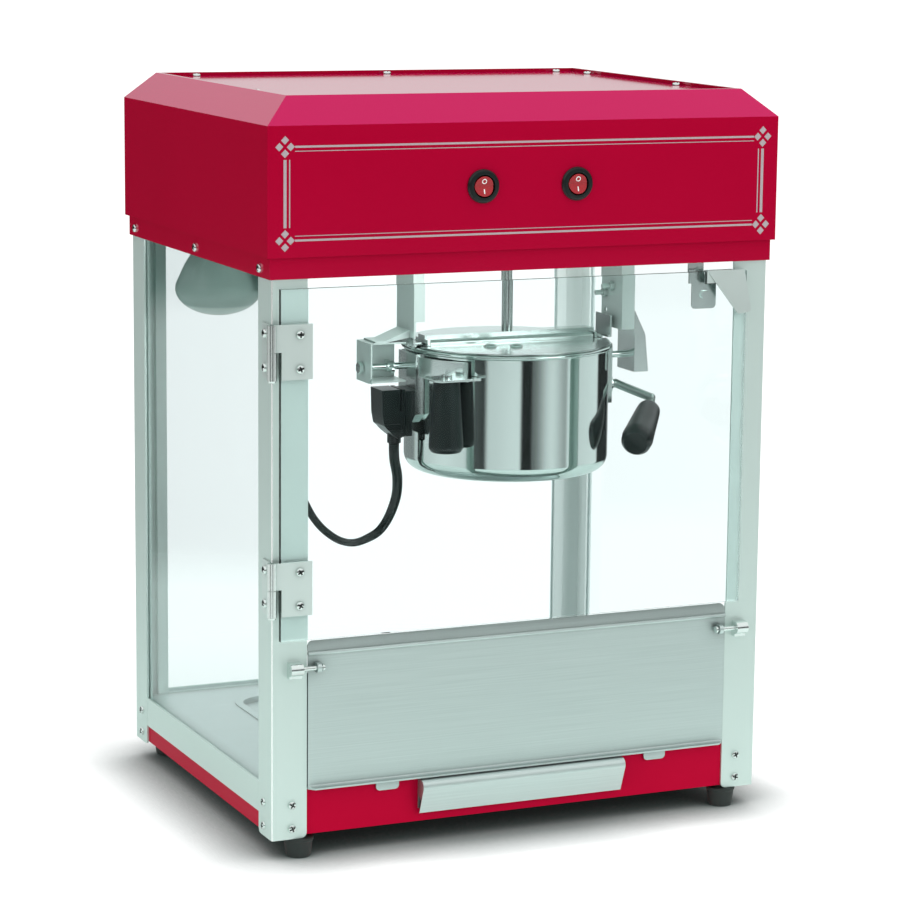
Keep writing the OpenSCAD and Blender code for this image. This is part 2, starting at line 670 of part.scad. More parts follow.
// Spring catch behind the glass, hung from the ceiling
module catch_bracket() {
    x = door_x1 - 42;
    y = pf + 4;
    color([0.35, 0.4, 0.38]) difference() {
        union() {
            box([x, y, ceil_z - 20], [x + 12, y + sheet, ceil_z]);
            box([x, y, ceil_z - sheet], [x + 12, y + 12, ceil_z]);
            translate([x + 12, y + sheet, ceil_z - 26]) rotate([90, 0, 0]) linear_extrude(sheet) round_rect(19, 24, 3);
        }
        along_y(y - 1, y + 3, x + 12, ceil_z - 28, screw_r + run);
    }
    chrome() translate([x + 12, y, ceil_z - 28]) rotate([90, 0, 0]) {
        cylinder(h = 2, r = 3.2, $fn = 6);
        translate([0, 0, -6]) cylinder(h = 7, r = screw_r, $fn = 24);
    }
}

// ---------- serving panel ----------

// Outline of the panel in Y and Z: lip, sheet, rolled fold and leaning strip
module panel_outline() {
    t = sheet;
    zb = fascia_z + 0.5;
    polygon([[panel_y - 4, zb], [panel_y + t, zb], [panel_y + t, fold_z], [panel_y + t + 1.6, fold_z + strip_h],
        [panel_y + 1.6, fold_z + strip_h], [panel_y, fold_z], [panel_y, zb + t], [panel_y - 4, zb + t]]);
    translate([panel_y + 0.3, fold_z]) circle(1.5, $fn = 32);
}

module serving_panel() {
    zb = fascia_z + 0.5;
    steel() {
        difference() {
            run_x(-flap_x, flap_x) panel_outline();
            // rounded ends of the strip and of the lip
            for (s = [-1, 1]) {
                translate([s * flap_x, 0, fold_z + strip_h]) rotate([90, 0, 0]) translate([0, 0, -pf - 10]) linear_extrude(30)
                    difference() {
                        square(8, center = true);
                        translate([-s * 4, -4]) circle(4, $fn = 32);
                    }
                translate([s * flap_x, panel_y - 4, zb - 1]) rotate([0, 0, 45]) cube([6, 6, 8], center = true);
            }
        }
        // stops that rest against the fascia
        for (x = [-101, 105]) translate([x, panel_y + sheet, zb]) rotate([90, 0, 0]) linear_extrude(sheet) {
            translate([0, -2]) square([17, 4], center = true);
            translate([0, -4]) square([11, 5], center = true);
            for (s = [-1, 1]) translate([s * 5.5, -3.5]) circle(3, $fn = 24);
        }
        // lugs that carry the pivot pins
        for (s = [-1, 1]) difference() {
            union() {
                along_x(s * (flap_x - 6) - 1.5, s * (flap_x - 6) + 1.5, flap_y, flap_z, 3.2);
                box([s * (flap_x - 6) - 1.5, flap_y, flap_z - 3.2], [s * (flap_x - 6) + 1.5, panel_y + 0.2, flap_z + 3.2]);
            }
            along_x(s * (flap_x - 6) - 3, s * (flap_x - 6) + 3, flap_y, flap_z, flap_pin_r + 0.01);
        }
    }
}

module flap_pins() {
    chrome() for (s = [-1, 1]) mirror([s > 0 ? 0 : 1, 0, 0]) {
        along_x(flap_x - 9, flap_x + 15, flap_y, flap_z, flap_pin_r);
        along_x(flap_x - 10, flap_x - 8.4, flap_y, flap_z, flap_pin_r + 0.9);
    }
}

// Rounded bearing blocks on the front posts
module flap_ears() {
    steel() for (s = [-1, 1]) difference() {
        union() {
            along_x(s * (px - 15.5) - 4.5, s * (px - 15.5) + 4.5, flap_y, flap_z, 4.5);
            box([s * (px - 15.5) - 4.5, flap_y, flap_z - 6.5], [s * (px - 15.5) + 4.5, pf, flap_z + 4.5]);
        }
        along_x(s * (px - 15.5) - 6, s * (px - 15.5) + 6, flap_y, flap_z, flap_pin_r + run);
    }
}

// ---------- hangers ----------

arm_f = -20;                                  // front edge of both arms
arm_b = 14;
HANGER = [
    [kx - arm_x - 9, -12], [kx - arm_x - 9, 6], [kx + arm_xr + 9, -12], [kx + arm_xr + 9, 6],
];

module hanger_arm_left() {
    x = kx - arm_x;
    low = rim_z + 10;
    steel() difference() {
        union() {
            box([x - 1.5, arm_f, low], [x, arm_b - 2, ceil_z]);
            box([x - 1.5, arm_f, low + 12], [x + 7, arm_f + 1.5, ceil_z]);
            box([x - 16, arm_f, ceil_z - 1.5], [x, arm_b - 2, ceil_z]);
            // sloping tie to the pivot bracket
            run_y(arm_f + 8, arm_b - 4) polygon([[x - 1.6, low], [x, low], [x, low + 6], [x - 20, axis_z + 20.2],
                [x - 28, axis_z + 20.2], [x - 28, axis_z + 19], [x - 19, axis_z + 19]]);
        }
        for (p = HANGER) along_z(ceil_z - 5, ceil_z + 3, p[0], p[1], screw_r + gap);
    }
}

module hanger_arm_right() {
    x = kx + arm_xr;
    low = rim_z + 9;
    steel() difference() {
        union() {
            box([x, arm_f, low], [x + 1.5, arm_b, ceil_z]);
            box([x, arm_f, low], [x + 10.5, arm_f + 1.5, ceil_z]);
            box([x, arm_f, ceil_z - 1.5], [x + 16, arm_b, ceil_z]);
        }
        along_x(x - 1, x + 3, 7, low + 12, 2);
        for (p = HANGER) along_z(ceil_z - 5, ceil_z + 3, p[0], p[1], screw_r + gap);
    }
    // studs with nuts that hold the pivot bracket
    chrome() for (p = [[-4, ceil_z - 38], [7, ceil_z - 44]]) {
        along_x(x - 9, x, p[0], p[1], 1.8);
        translate([x - 3, p[0], p[1]]) rotate([0, 90, 0]) cylinder(h = 3, r = 3.6, $fn = 6);
    }
}

// Folded box bracket with the pivot screw, open to the front and to the kettle
module pivot_bracket_left() {
    x0 = kx - arm_x - 33;
    x1 = kx - arm_x - 4;
    t = 1.2;
    steel() difference() {
        union() {
            box([x0, -16, axis_z - 10], [x0 + t, 11.2, axis_z + 19]);
            box([x0, 10, axis_z - 10], [x1, 11.2, axis_z + 19]);
            box([x0, -12, axis_z + 17.8], [x1, 11.2, axis_z + 19]);
            box([x0, -12, axis_z - 10], [x1, 11.2, axis_z - 8.8]);
        }
        along_x(x0 - 1, x0 + 3, 0, axis_z, pivot_r + run);
        // chamfered lower corner of the side plate
        translate([x0 - 1, -16, axis_z - 10]) rotate([45, 0, 0]) cube([4, 6, 6], center = true);
    }
}

// Slanting plate with a front flange that takes the right pivot
module pivot_bracket_right() {
    xi = kx + arm_xr + 1.5;
    xo = kx + bracket_x;
    flange = (px - xo) / 3;
    steel() difference() {
        union() {
            run_y(-14, 14) polygon([[xi, axis_z + 60], [xi + 1.5, axis_z + 60], [xo + 1.5, axis_z + 16],
                [xo + 1.5, axis_z - 12], [xo, axis_z - 12], [xo, axis_z + 15.6], [xi, axis_z + 58]]);
            run_y(-14, -12.5) polygon([[xi, axis_z + 59], [xo + 1, axis_z + 15], [xo + 1, axis_z - 12],
                [xo + flange, axis_z - 12], [xo + flange * 0.75, axis_z + 16]]);
        }
        along_x(xo - 2, xo + 4, 0, axis_z, pivot_r + run);
    }
}

module hanger_screws() {
    chrome() for (p = HANGER) {
        translate([p[0], p[1], ceil_z - 1.5]) mirror([0, 0, 1]) screw(6);
        translate([p[0], p[1], ceil_z + sheet]) difference() {
            cylinder(h = 2.4, r = 3.2, $fn = 6);
            translate([0, 0, -1]) cylinder(h = 5, r = screw_r + 0.01, $fn = 24);
        }
    }
}

// ---------- switches, gland, inlet ----------

module switch_bezels() {
    black() for (x = SWITCH_X) translate([x, yf, switch_z]) difference() {
        union() {
            rotate([90, 0, 0]) rotate_extrude() polygon([[0, 0], [bezel_r, 0], [bezel_r, 1.2], [bezel_r - 0.8, 2.4],
                [bezel_r - 2.4, 2.8], [0, 2.8]]);
            along_y(0, 20, 0, 0, bezel_r - 1.7);
        }
        along_y(-4, 12, 0, 0, rocker_r + 1);
        along_x(-9, 9, rocker_y, 0, rocker_pin_r + run);
    }
}

module mains_inlet() {
    black() translate([xr - 60, yb, roof_z + 20]) rotate([-90, 0, 0]) difference() {
        union() {
            cylinder(h = inlet_reach, r1 = 9, r2 = 7);
            translate([0, 0, -8]) cylinder(h = 9, r = 6);
        }
        translate([0, 0, -9]) cylinder(h = 20, r = 3.6);
    }
}

module cord_gland() {
    p = CORD[len(CORD) - 1];
    black() translate([p[0], p[1], ceil_z]) difference() {
        union() {
            translate([0, 0, -4]) cylinder(h = 4, r = 9);
            cylinder(h = 7, r = 7);
            translate([0, 0, p[2] - ceil_z]) cylinder(h = ceil_z - 4 - p[2], r1 = 5.4, r2 = 7.5);
        }
    }
}

// ---------- kettle cord ----------

function unit(v) = v / norm(v);
function tangent(p, i) = unit(p[min(i + 1, len(p) - 1)] - p[max(i - 1, 0)]);
// sideways direction of the flat cord: across its run, in the plane of its hang
function side(t) = unit(cross(t, [0.55, 0.84, 0]));
module kettle_cord() {
    sides = 8;
    n = len(CORD);
    rings = [for (i = [0 : n - 1]) let (t = tangent(CORD, i), s = side(t), u = cross(s, t))
        for (k = [0 : sides - 1]) CORD[i] + s * cord_w / 2 * cos(k * 360 / sides) + u * cord_t / 2 * sin(k * 360 / sides)];
    skin = [for (i = [0 : n - 2], k = [0 : sides - 1])
        [i * sides + k, i * sides + (k + 1) % sides, (i + 1) * sides + (k + 1) % sides, (i + 1) * sides + k]];
    ends = [[for (k = [sides - 1 : -1 : 0]) k], [for (k = [0 : sides - 1]) (n - 1) * sides + k]];
    black() polyhedron(rings, concat(skin, ends));
}

// ---------- kettle ----------

// Half outline of a dished pot, from its bottom centre, with wall t and corner radius r
module pot_outline(r_out, low, high, corner, t) {
    difference() {
        union() {
            translate([0, low]) square([r_out - corner, corner + 1]);
            translate([r_out - corner, low + corner]) circle(corner);
            translate([0, low + corner]) square([r_out, high - low - corner]);
        }
        union() {
            translate([0, low + t]) square([r_out - corner, corner + 1]);
            translate([r_out - corner, low + corner]) circle(corner - t);
            translate([0, low + corner]) square([r_out - t, high - low]);
        }
        translate([-r_out, low - 1]) square([r_out, high - low + 2]);
    }
}

module kettle_pot() {
    chrome() translate([kx, 0, 0]) {
        difference() {
            union() {
                rotate_extrude($fn = 96) {
                    pot_outline(kettle_r, pot_z, rim_z, 11, 1);
                    translate([kettle_r + 0.9, rim_z]) circle(bead_r, $fn = 24);
                }
                // domed nut and washer of the bottom bearing
                along_z(pot_z - 2, pot_z + 0.5, 0, 0, 8);
                along_z(pot_z - 11, pot_z - 1, 0, 0, 4.2);
            }
            along_z(pot_z - 8, pot_z + 3, 0, 0, shaft_r - 1.2);
        }
    }
}

module kettle_pan() {
    color([0.66, 0.68, 0.67]) translate([kx, 0, 0]) difference() {
        rotate_extrude($fn = 96) pot_outline(kettle_r - 1.3, pot_z + 13, rim_z - 2, 8, 1.5);
        along_z(pot_z + 10, pot_z + 16, 0, 0, shaft_r + run);
    }
    // spacer ring between the pan and the pot's bottom
    color([0.5, 0.5, 0.5]) difference() {
        along_z(pot_z + 1, pot_z + 13.6, kx, 0, 30);
        along_z(pot_z, pot_z + 14, kx, 0, 27);
    }
}

// Crossbar over the mouth, with the lids' pins in its end plates and turned-up ends
module kettle_crossbar() {
    reach = rim_r + 2.3;
    steel() difference() {
        union() {
            difference() {
                box([kx - bar_x, -bar_w / 2, bar_z], [kx + bar_x, bar_w / 2, bar_z + bar_h]);
                box([kx - bar_x + 2, -bar_w / 2 + 1.2, bar_z - 1], [kx + bar_x - 2, bar_w / 2 - 1.2, bar_z + bar_h - 1.2]);
            }
            for (s = [-1, 1]) {
                // plates for the lids' pins
                box([kx + s * (bar_x - 1) - 1, -lid_axis_y - 3, lid_axis_z - 1.6],
                    [kx + s * (bar_x - 1) + 1, lid_axis_y + 3, lid_axis_z + 3]);
                // web over the rim, widening into the turned-up end
                translate([kx + s * (bar_x + reach) / 2, 0, bar_z + 2]) cube([reach - bar_x + 4, bar_w, 2], center = true);
                box([kx + (s > 0 ? reach - 1.5 : -reach), -bar_w, bar_z + 1],
                    [kx + (s > 0 ? reach : -reach + 1.5), bar_w, bar_z + 17]);
                box([kx + (s > 0 ? rim_r - 1 : -reach), -bar_w, bar_z + 1],
                    [kx + (s > 0 ? reach : -rim_r + 1), bar_w, bar_z + 3]);
                // foot on the rim
                box([kx + s * (kettle_r + 0.4) - 1.6, -3, rim_z + bead_r],
                    [kx + s * (kettle_r + 0.4) + 1.6, 3, bar_z + 1.5]);
            }
            // collar where the shaft passes
            along_z(bar_z - 2, bar_z + bar_h, kx, 0, shaft_r + 2);
        }
        along_z(bar_z - 4, bar_z + bar_h + 4, kx, 0, shaft_r + run);
        for (y = [-lid_axis_y, lid_axis_y]) along_x(kx - bar_x - 3, kx + bar_x + 3, y, lid_axis_z, lid_pin_r + 0.01);
    }
    chrome() for (y = [-lid_axis_y, lid_axis_y])
        along_x(kx - bar_x - 0.6, kx + bar_x + 0.6, y, lid_axis_z, lid_pin_r);
}

// Half lid with a hem rolled round its pin; turned to the back for the rear one
module lid() {
    x = bar_x - 2.6;
    difference() {
        union() {
            intersection() {
                along_z(lid_z, lid_z + 1, 0, 0, kettle_r + 0.6);
                union() {
                    box([-x, -lid_axis_y - 12, lid_z], [x, -lid_axis_y, lid_z + 1]);
                    box([-kettle_r - 2, -kettle_r - 2, lid_z], [kettle_r + 2, -lid_axis_y - 5, lid_z + 1]);
                }
            }
            along_x(-x, x, -lid_axis_y, lid_axis_z, hem_r);
            box([-x, -lid_axis_y - hem_r, lid_z], [x, -lid_axis_y - hem_r + 1, lid_axis_z]);
        }
        along_x(-x - 1, x + 1, -lid_axis_y, lid_axis_z, lid_pin_r + run);
    }
}

module lid_front() {
    steel() translate([kx, 0, 0]) lid();
    // rivets of the stiffening strip, and the finger clip at the edge
    chrome() for (p = [[-26, -28], [-8, -34]]) translate([kx + p[0], p[1], lid_z + 1]) rotate_extrude($fn = 32)
        polygon([[0, 0], [5, 0], [4.4, 1.2], [2.6, 2], [0, 2.2]]);
}

module lid_rear() {
    steel() translate([kx, 0, 0]) rotate([0, 0, 180]) lid();
}

// Ears on both sides of the pot: pivots, strap to the left grip, crank's bush
strap_r = rim_r + 0.7;
grip_dx = -72;
grip_dy = -55;
grip_top = axis_z - 3.4;
module kettle_ears() {
    chrome() {
        difference() {
            union() {
                box([kx - ear_x, -18, axis_z - 40], [kx - kettle_r + 6, 14, rim_z - bead_r - gap]);
                box([kx + kettle_r - 4, -14, axis_z - 34], [kx + ear_x, 14, rim_z - bead_r - gap]);
            }
            along_z(axis_z - 60, rim_z + 9, kx, 0, kettle_r + 0.05);
            along_x(kx - ear_x - 1, kx - kettle_r - 1, 0, axis_z, pivot_r + run);
            // clipped lower corners
            for (y = [-18, 14]) translate([kx - ear_x, y, axis_z - 40]) rotate([45, 0, 0]) cube([30, 9, 9], center = true);
        }
        // right pivot pin and its head outside the bracket
        along_x(kx + ear_x - 1, kx + bracket_x + 3, 0, axis_z, pivot_r);
        along_x(kx + bracket_x + 1.5 + gap, kx + bracket_x + 4.5, 0, axis_z, pivot_r + 2);
        // strap round the rim, with the tab above the grip
        difference() {
            translate([kx, 0, axis_z - 6]) rotate([0, 0, 185]) rotate_extrude(angle = 40) translate([strap_r, 0]) square([1.5, 14.5]);
        }
        difference() {
            intersection() {
                translate([kx + grip_dx - 12, grip_dy - 11, grip_top]) cube([34, 24, 1.6]);
                along_z(grip_top, grip_top + 1.6, kx, 0, 104);
            }
            along_z(grip_top - 1, grip_top + 3, kx, 0, strap_r - 0.6);
        }
        along_z(grip_top + 1.5, grip_top + 4, kx + grip_dx, grip_dy, 4);
        // bush of the crank
        along_x(kx + ear_x - 1, kx + ear_x + 5, 0, axis_z - crank_drop, 7);
    }
}

module left_grip() {
    black() translate([kx + grip_dx, grip_dy, 0]) rotate_extrude($fn = 48)
        polygon([[0, grip_top], [9, grip_top], [9.4, grip_top - 1.4], [12.4, grip_top - 46], [12.2, grip_top - 49],
            [10.6, grip_top - 51.4], [8, grip_top - 52], [0, grip_top - 52]]);
}

// Moulded appliance connector with its inlet, on the left ear
module cord_connector() {
    x0 = kx - ear_x - 23;
    x1 = kx - ear_x;
    top = axis_z - 15.8;
    black() {
        difference() {
            run_y(-11, 11) union() {
                polygon([[x0, top], [x1 - 5, top], [x1 - 5, top - 34], [x1 - 10, top - 36], [x0 + 8, top - 32],
                    [x0 + 2, top - 26], [x0 + 0.5, top - 18]]);
            }
            // grooves that leave two gripping ribs on each side
            for (z = [top - 24, top - 28.5], s = [-1, 1])
                box([x0 + 2, s > 0 ? 10 : -12, z - 1.1], [x0 + 15, s > 0 ? 12 : -10, z + 1.1]);
            box([x1 - 9, -12, top - 16], [x1 - 7.4, 12, top + 1]);
        }
        box([x1 - 5.2, -12.5, top - 34], [x1, 12.5, top - 1]);
        along_z(CORD[0][2], top - 33, CORD[0][0], CORD[0][1], 5);
    }
}

// Crank that tips the kettle: bent rod from the right bush to the grip
crank_out = px - kx - 23.5;                   // farthest bend, clear of the right pane
GRIP_RUN = unit([-0.58, -0.75, -0.31]);       // direction of the crank's grip
GRIP_FOOT = [crank_out - 4, -24, -crank_drop - 17];
CRANK = [
    [ear_x + 5, 0, -crank_drop], [ear_x + 10, 0, -crank_drop], [crank_out, -19, -crank_drop - 9],
    GRIP_FOOT - 5 * GRIP_RUN, GRIP_FOOT,
];
crank_r = 3.2;
module rod_between(a, b, r) {
    v = b - a;
    translate(a) rotate([0, acos(v[2] / norm(v)), atan2(v[1], v[0])]) cylinder(h = norm(v), r = r, $fn = 32);
}
module crank_rod() {
    color([0.45, 0.5, 0.48]) translate([kx, 0, axis_z]) {
        for (i = [0 : len(CRANK) - 2]) rod_between(CRANK[i], CRANK[i + 1], crank_r);
        for (i = [1 : len(CRANK) - 2]) translate(CRANK[i]) sphere(crank_r + 0.2, $fn = 32);
    }
}
module crank_grip() {
    v = GRIP_RUN;
    black() translate([kx, 0, axis_z]) translate(GRIP_FOOT) rotate([0, acos(v[2]), atan2(v[1], v[0])])
        rotate_extrude($fn = 48) polygon([[0, 0], [7.4, 0], [8.6, 1.6], [9.2, 8], [11, 38], [11.6, 46], [11, 52],
            [8.6, 55.4], [0, 56]]);
}

// ---------- stirrer, rockers, pivot screw ----------

module stirrer() {
    floor_z = pot_z + 14.5;
    chrome() translate([kx, 0, 0]) {
        difference() {
            union() {
                along_z(pot_z + 13.2, shoulder_top, 0, 0, shaft_r);
                intersection() {
                    along_z(shoulder_top - 1, tang_z, 0, 0, shaft_r);
                    box([-2, -6, shoulder_top - 2], [2, 6, tang_z]);
                }
                along_z(floor_z + gap, floor_z + 14, 0, 0, 8);
                // two bent blades that sweep the pan
                for (a = [20, 200]) rotate([0, 0, a]) {
                    along_x(4, 62, 0, floor_z + 8, 2);
                    box([18, -0.8, floor_z + 1], [62, 0.8, floor_z + 8]);
                    translate([62, 0, floor_z + 8]) sphere(2, $fn = 32);
                }
            }
        }
    }
}

// Round rocker with two lobes and a valley, on trunnions in the bezel
module rocker(x) {
    color([0.8, 0.03, 0.1]) translate([x, yf, switch_z]) {
        intersection() {
            along_y(-3.4, 5, 0, 0, rocker_r);
            rotate([0, 90, 0]) linear_extrude(20, center = true)
                polygon([[-8, 9], [8, 9], [8, -2.4], [6.2, -3.2], [0, -1.4], [-6.2, -3.2], [-8, -2.4]]);
        }
        along_x(-rocker_r - 2, rocker_r + 2, rocker_y, 0, rocker_pin_r);
    }
}
module rocker_light() { rocker(SWITCH_X[0]); }
module rocker_pop() { rocker(SWITCH_X[1]); }

// Left pivot: a screw with two wings, turned by hand inside the open bracket
module wing_screw() {
    x0 = kx - arm_x - 33;
    chrome() {
        along_x(x0 - 3.2, kx - kettle_r - 3.3, 0, axis_z, pivot_r);
        translate([x0 - 3.5, 0, axis_z]) rotate([0, 90, 0]) cylinder(h = 3.2, r = 4.4, $fn = 6);
        along_x(x0 + 18, x0 + 24, 0, axis_z, 4);
        for (a = [20, 200]) translate([x0 + 19.8, 0, axis_z]) rotate([a, 0, 0]) rotate([90, 0, 90])
            linear_extrude(2.4) {
                translate([0, -3]) square([5, 6]);
                translate([5, 0]) circle(3);
            }
    }
}

roof_canopy();
roof_top_panel();
roof_top_screws();
trim_band();
trim_screws();
ceiling_plate();
motor_bracket();
gear_motor();
lamp_holder();
lamp_bulb();
lamp_shield();
post_front_left();
post_front_right();
post_back_left();
post_back_right();
pane_left();
pane_right();
pane_back();
rail_left();
rail_right();
rail_back();
base_body();
deck();
kernel_sifter();
drawer_runners();
post_screws();
feet();
hinge_post_leaves();
catch_bracket();
flap_ears();
hanger_arm_left();
hanger_arm_right();
pivot_bracket_left();
pivot_bracket_right();
hanger_screws();
switch_bezels();
cord_gland();
mains_inlet();
kettle_cord();
door_pane();
hinge_door_leaves();
door_handle();
serving_panel();
flap_pins();
crumb_drawer();
kettle_pot();
kettle_pan();
kettle_crossbar();
kettle_ears();
cord_connector();
left_grip();
crank_rod();
crank_grip();
lid_front();
lid_rear();
stirrer();
drive_coupling();
rocker_light();
rocker_pop();
wing_screw();
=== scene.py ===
import json
import math

import bmesh
import bpy
from mathutils import Matrix, Vector


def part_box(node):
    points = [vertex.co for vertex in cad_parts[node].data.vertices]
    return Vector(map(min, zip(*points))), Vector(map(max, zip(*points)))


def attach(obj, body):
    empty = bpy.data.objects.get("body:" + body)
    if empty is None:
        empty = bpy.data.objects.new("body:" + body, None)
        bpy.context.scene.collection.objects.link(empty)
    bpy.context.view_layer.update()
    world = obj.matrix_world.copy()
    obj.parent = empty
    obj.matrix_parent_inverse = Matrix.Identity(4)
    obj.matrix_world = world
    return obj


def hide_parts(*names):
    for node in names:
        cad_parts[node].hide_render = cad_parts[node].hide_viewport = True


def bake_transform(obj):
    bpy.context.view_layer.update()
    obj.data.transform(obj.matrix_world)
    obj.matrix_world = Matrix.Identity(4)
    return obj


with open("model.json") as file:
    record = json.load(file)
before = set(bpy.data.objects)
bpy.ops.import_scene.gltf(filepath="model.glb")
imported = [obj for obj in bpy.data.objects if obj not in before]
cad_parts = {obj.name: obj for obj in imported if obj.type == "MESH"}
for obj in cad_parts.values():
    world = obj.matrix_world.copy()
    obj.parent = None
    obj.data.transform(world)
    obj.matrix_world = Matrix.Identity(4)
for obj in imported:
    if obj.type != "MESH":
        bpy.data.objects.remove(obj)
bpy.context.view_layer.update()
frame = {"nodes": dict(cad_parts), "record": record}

for obj in bpy.context.selected_objects:
    obj.select_set(False)
bodies = frame["record"]["behaviour"]["bodies"]
body_with = {node: body for body, nodes in bodies.items() for node in nodes}

# ---------------------------------------------------------------- camera
# Long lens, left of the front and a little above the kettle, levelled so that the posts
# stay nearly upright; the shift slides the machine into the middle of the frame.
turn, dip, roll = math.radians(24.85), math.radians(10.084), math.radians(-0.766)
behind = Vector((-math.sin(turn) * math.cos(dip), -math.cos(turn) * math.cos(dip), math.sin(dip)))
right = Vector((math.cos(turn), -math.sin(turn), 0))
above = behind.cross(right)
right, above = (right * math.cos(roll) - above * math.sin(roll),
                right * math.sin(roll) + above * math.cos(roll))
camera = bpy.data.objects.new("camera", bpy.data.cameras.new("camera"))
bpy.context.scene.collection.objects.link(camera)
stand = Matrix((right, above, behind)).transposed().to_4x4()
stand.translation = (-0.9013, -2.0688, 0.6463)
camera.matrix_world = stand
camera.data.sensor_width = 36
camera.data.lens = 125.37
camera.data.shift_x = -0.0671
camera.data.shift_y = 0.0052
camera.data.clip_end = 50
bpy.context.scene.camera = camera


# ---------------------------------------------------------------- studio
# Pale floor, white background, one wide soft light overhead and softer ones at the sides.
# Mirror-like metal sees the scrims and dark flags that stand round the table.
def linear(hex_colour):
    out = []
    for i in (0, 2, 4):
        c = int(hex_colour[i:i + 2], 16) / 255
        out.append(c / 12.92 if c <= 0.04045 else ((c + 0.055) / 1.055) ** 2.4)
    return (*out, 1.0)


def add(tree, kind, links=None, values=None, **settings):
    """Adds a node: settings are its own properties; values and links go to its inputs."""
    node = tree.nodes.new(kind)
    for key, value in settings.items():
        setattr(node, key, value)
    for socket, value in (values or {}).items():
        node.inputs[socket].default_value = value
    for socket, source in (links or {}).items():
        tree.links.new(source, node.inputs[socket])
    return node


bpy.context.scene.view_settings.view_transform = "Standard"
world = bpy.data.worlds.new("studio")
bpy.context.scene.world = world
world.use_nodes = True
tree = world.node_tree
tree.nodes.clear()
world.cycles.sampling_method = "NONE"
facing = add(tree, "ShaderNodeTexCoord")
split = add(tree, "ShaderNodeSeparateXYZ", {"Vector": facing.outputs["Generated"]})
front = add(tree, "ShaderNodeMath", {0: split.outputs["Y"]}, {1: -1.0}, operation="MULTIPLY")
compass = add(tree, "ShaderNodeMath", {0: split.outputs["X"], 1: front.outputs[0]}, operation="ARCTAN2")
share = add(tree, "ShaderNodeMapRange", {"Value": compass.outputs[0]},
            {"From Min": -math.pi, "From Max": math.pi})


def round_table(stops):
    """A ring of scrims and flags: direction from the front in degrees, to the right, and brightness."""
    ring = add(tree, "ShaderNodeValToRGB", {"Fac": share.outputs[0]})
    ring.color_ramp.interpolation = "EASE"
    ring.color_ramp.elements.remove(ring.color_ramp.elements[0])
    for i, (degrees, level) in enumerate(stops):
        spot = (degrees + 180) / 360
        stop = ring.color_ramp.elements.new(spot) if i else ring.color_ramp.elements[0]
        stop.position = spot
        stop.color = (level, level, level, 1)
    return ring


# Low scrims, which upright polished metal mirrors, a dark gap at eye height and the sky above it
low = round_table([(-180, 0.3), (-153, 0.3), (-146, 0.75), (-125, 0.85), (-100, 1.0), (-74, 0.9),
                   (-57, 0.04), (-50, 0.01), (-43, 0.85), (-10, 1.0), (-6, 0.01), (3, 0.01), (6, 0.2),
                   (28, 0.95), (46, 0.5), (50, 1.0), (60, 1.0), (64, 0.9), (98, 1.0), (103, 0.02),
                   (134, 0.01), (142, 0.4), (180, 0.3)])
gap_top = round_table([(-180, 0.30), (-120, 0.34), (110, 0.30), (130, 0.06), (170, 0.06), (180, 0.30)])
sink = add(tree, "ShaderNodeMapRange", {"Value": split.outputs["Z"]},
           {"From Min": -0.124, "From Max": -0.132})
rise = add(tree, "ShaderNodeMath", {0: split.outputs["Z"], 1: gap_top.outputs[0]}, operation="SUBTRACT")
sky = add(tree, "ShaderNodeMapRange", {"Value": rise.outputs[0]}, {"From Min": -0.2, "From Max": 0.1},
          interpolation_type="SMOOTHSTEP")
flag = add(tree, "ShaderNodeMix", {0: sink.outputs[0], 7: low.outputs[0]}, {6: (0.012, 0.014, 0.014, 1)},
           data_type="RGBA")
dome = add(tree, "ShaderNodeMix", {0: sky.outputs[0], 6: flag.outputs[2]}, {7: (1, 1, 1, 1)},
           data_type="RGBA")


def ray_tests():
    """Whether a ray comes straight from the camera or through glass, and whether it met only mirrors."""
    path = add(tree, "ShaderNodeLightPath")
    bounces = add(tree, "ShaderNodeMath", {0: path.outputs["Glossy Depth"], 1: path.outputs["Diffuse Depth"]})
    straight = add(tree, "ShaderNodeMath", {0: bounces.outputs[0]}, {1: 0.5}, operation="LESS_THAN")
    mirrored = add(tree, "ShaderNodeMath", {0: path.outputs["Diffuse Depth"]}, {1: 0.5},
                   operation="LESS_THAN")
    return straight.outputs[0], mirrored.outputs[0]


straight, mirrored = ray_tests()
scrims = add(tree, "ShaderNodeBackground", {"Color": dome.outputs[2]}, {"Strength": 1.0})
white = add(tree, "ShaderNodeBackground", None, {"Color": (1, 1, 1, 1), "Strength": 1.2})
fill = add(tree, "ShaderNodeBackground", None, {"Color": linear("EDF6F4"), "Strength": 0.6})
glossy = add(tree, "ShaderNodeMixShader", {0: mirrored, 1: fill.outputs[0], 2: scrims.outputs[0]})
shown = add(tree, "ShaderNodeMixShader", {0: straight, 1: glossy.outputs[0], 2: white.outputs[0]})
add(tree, "ShaderNodeOutputWorld", {"Surface": shown.outputs[0]})


def soft_light(name, place, aim, size, watts, colour="FFFFFF"):
    lamp = bpy.data.lights.new(name, "AREA")
    lamp.shape = "RECTANGLE"
    lamp.size, lamp.size_y = size
    lamp.energy = watts
    lamp.color = linear(colour)[:3]
    holder = bpy.data.objects.new(name, lamp)
    bpy.context.scene.collection.objects.link(holder)
    way = Vector(place) - Vector(aim)
    holder.matrix_world = Matrix.Translation(place) @ way.to_track_quat("Z", "Y").to_matrix().to_4x4()
    holder.visible_glossy = False
    return holder


soft_light("overhead_softbox", (0.3, -0.3, 2.3), (0, 0, 0.3), (2.2, 2.2), 26)
soft_light("front_softbox", (1.2, -2.4, 1.3), (0, 0, 0.3), (1.6, 1.6), 20)
soft_light("left_softbox", (-2.4, -0.8, 1.2), (0, 0, 0.3), (1.4, 1.6), 14)

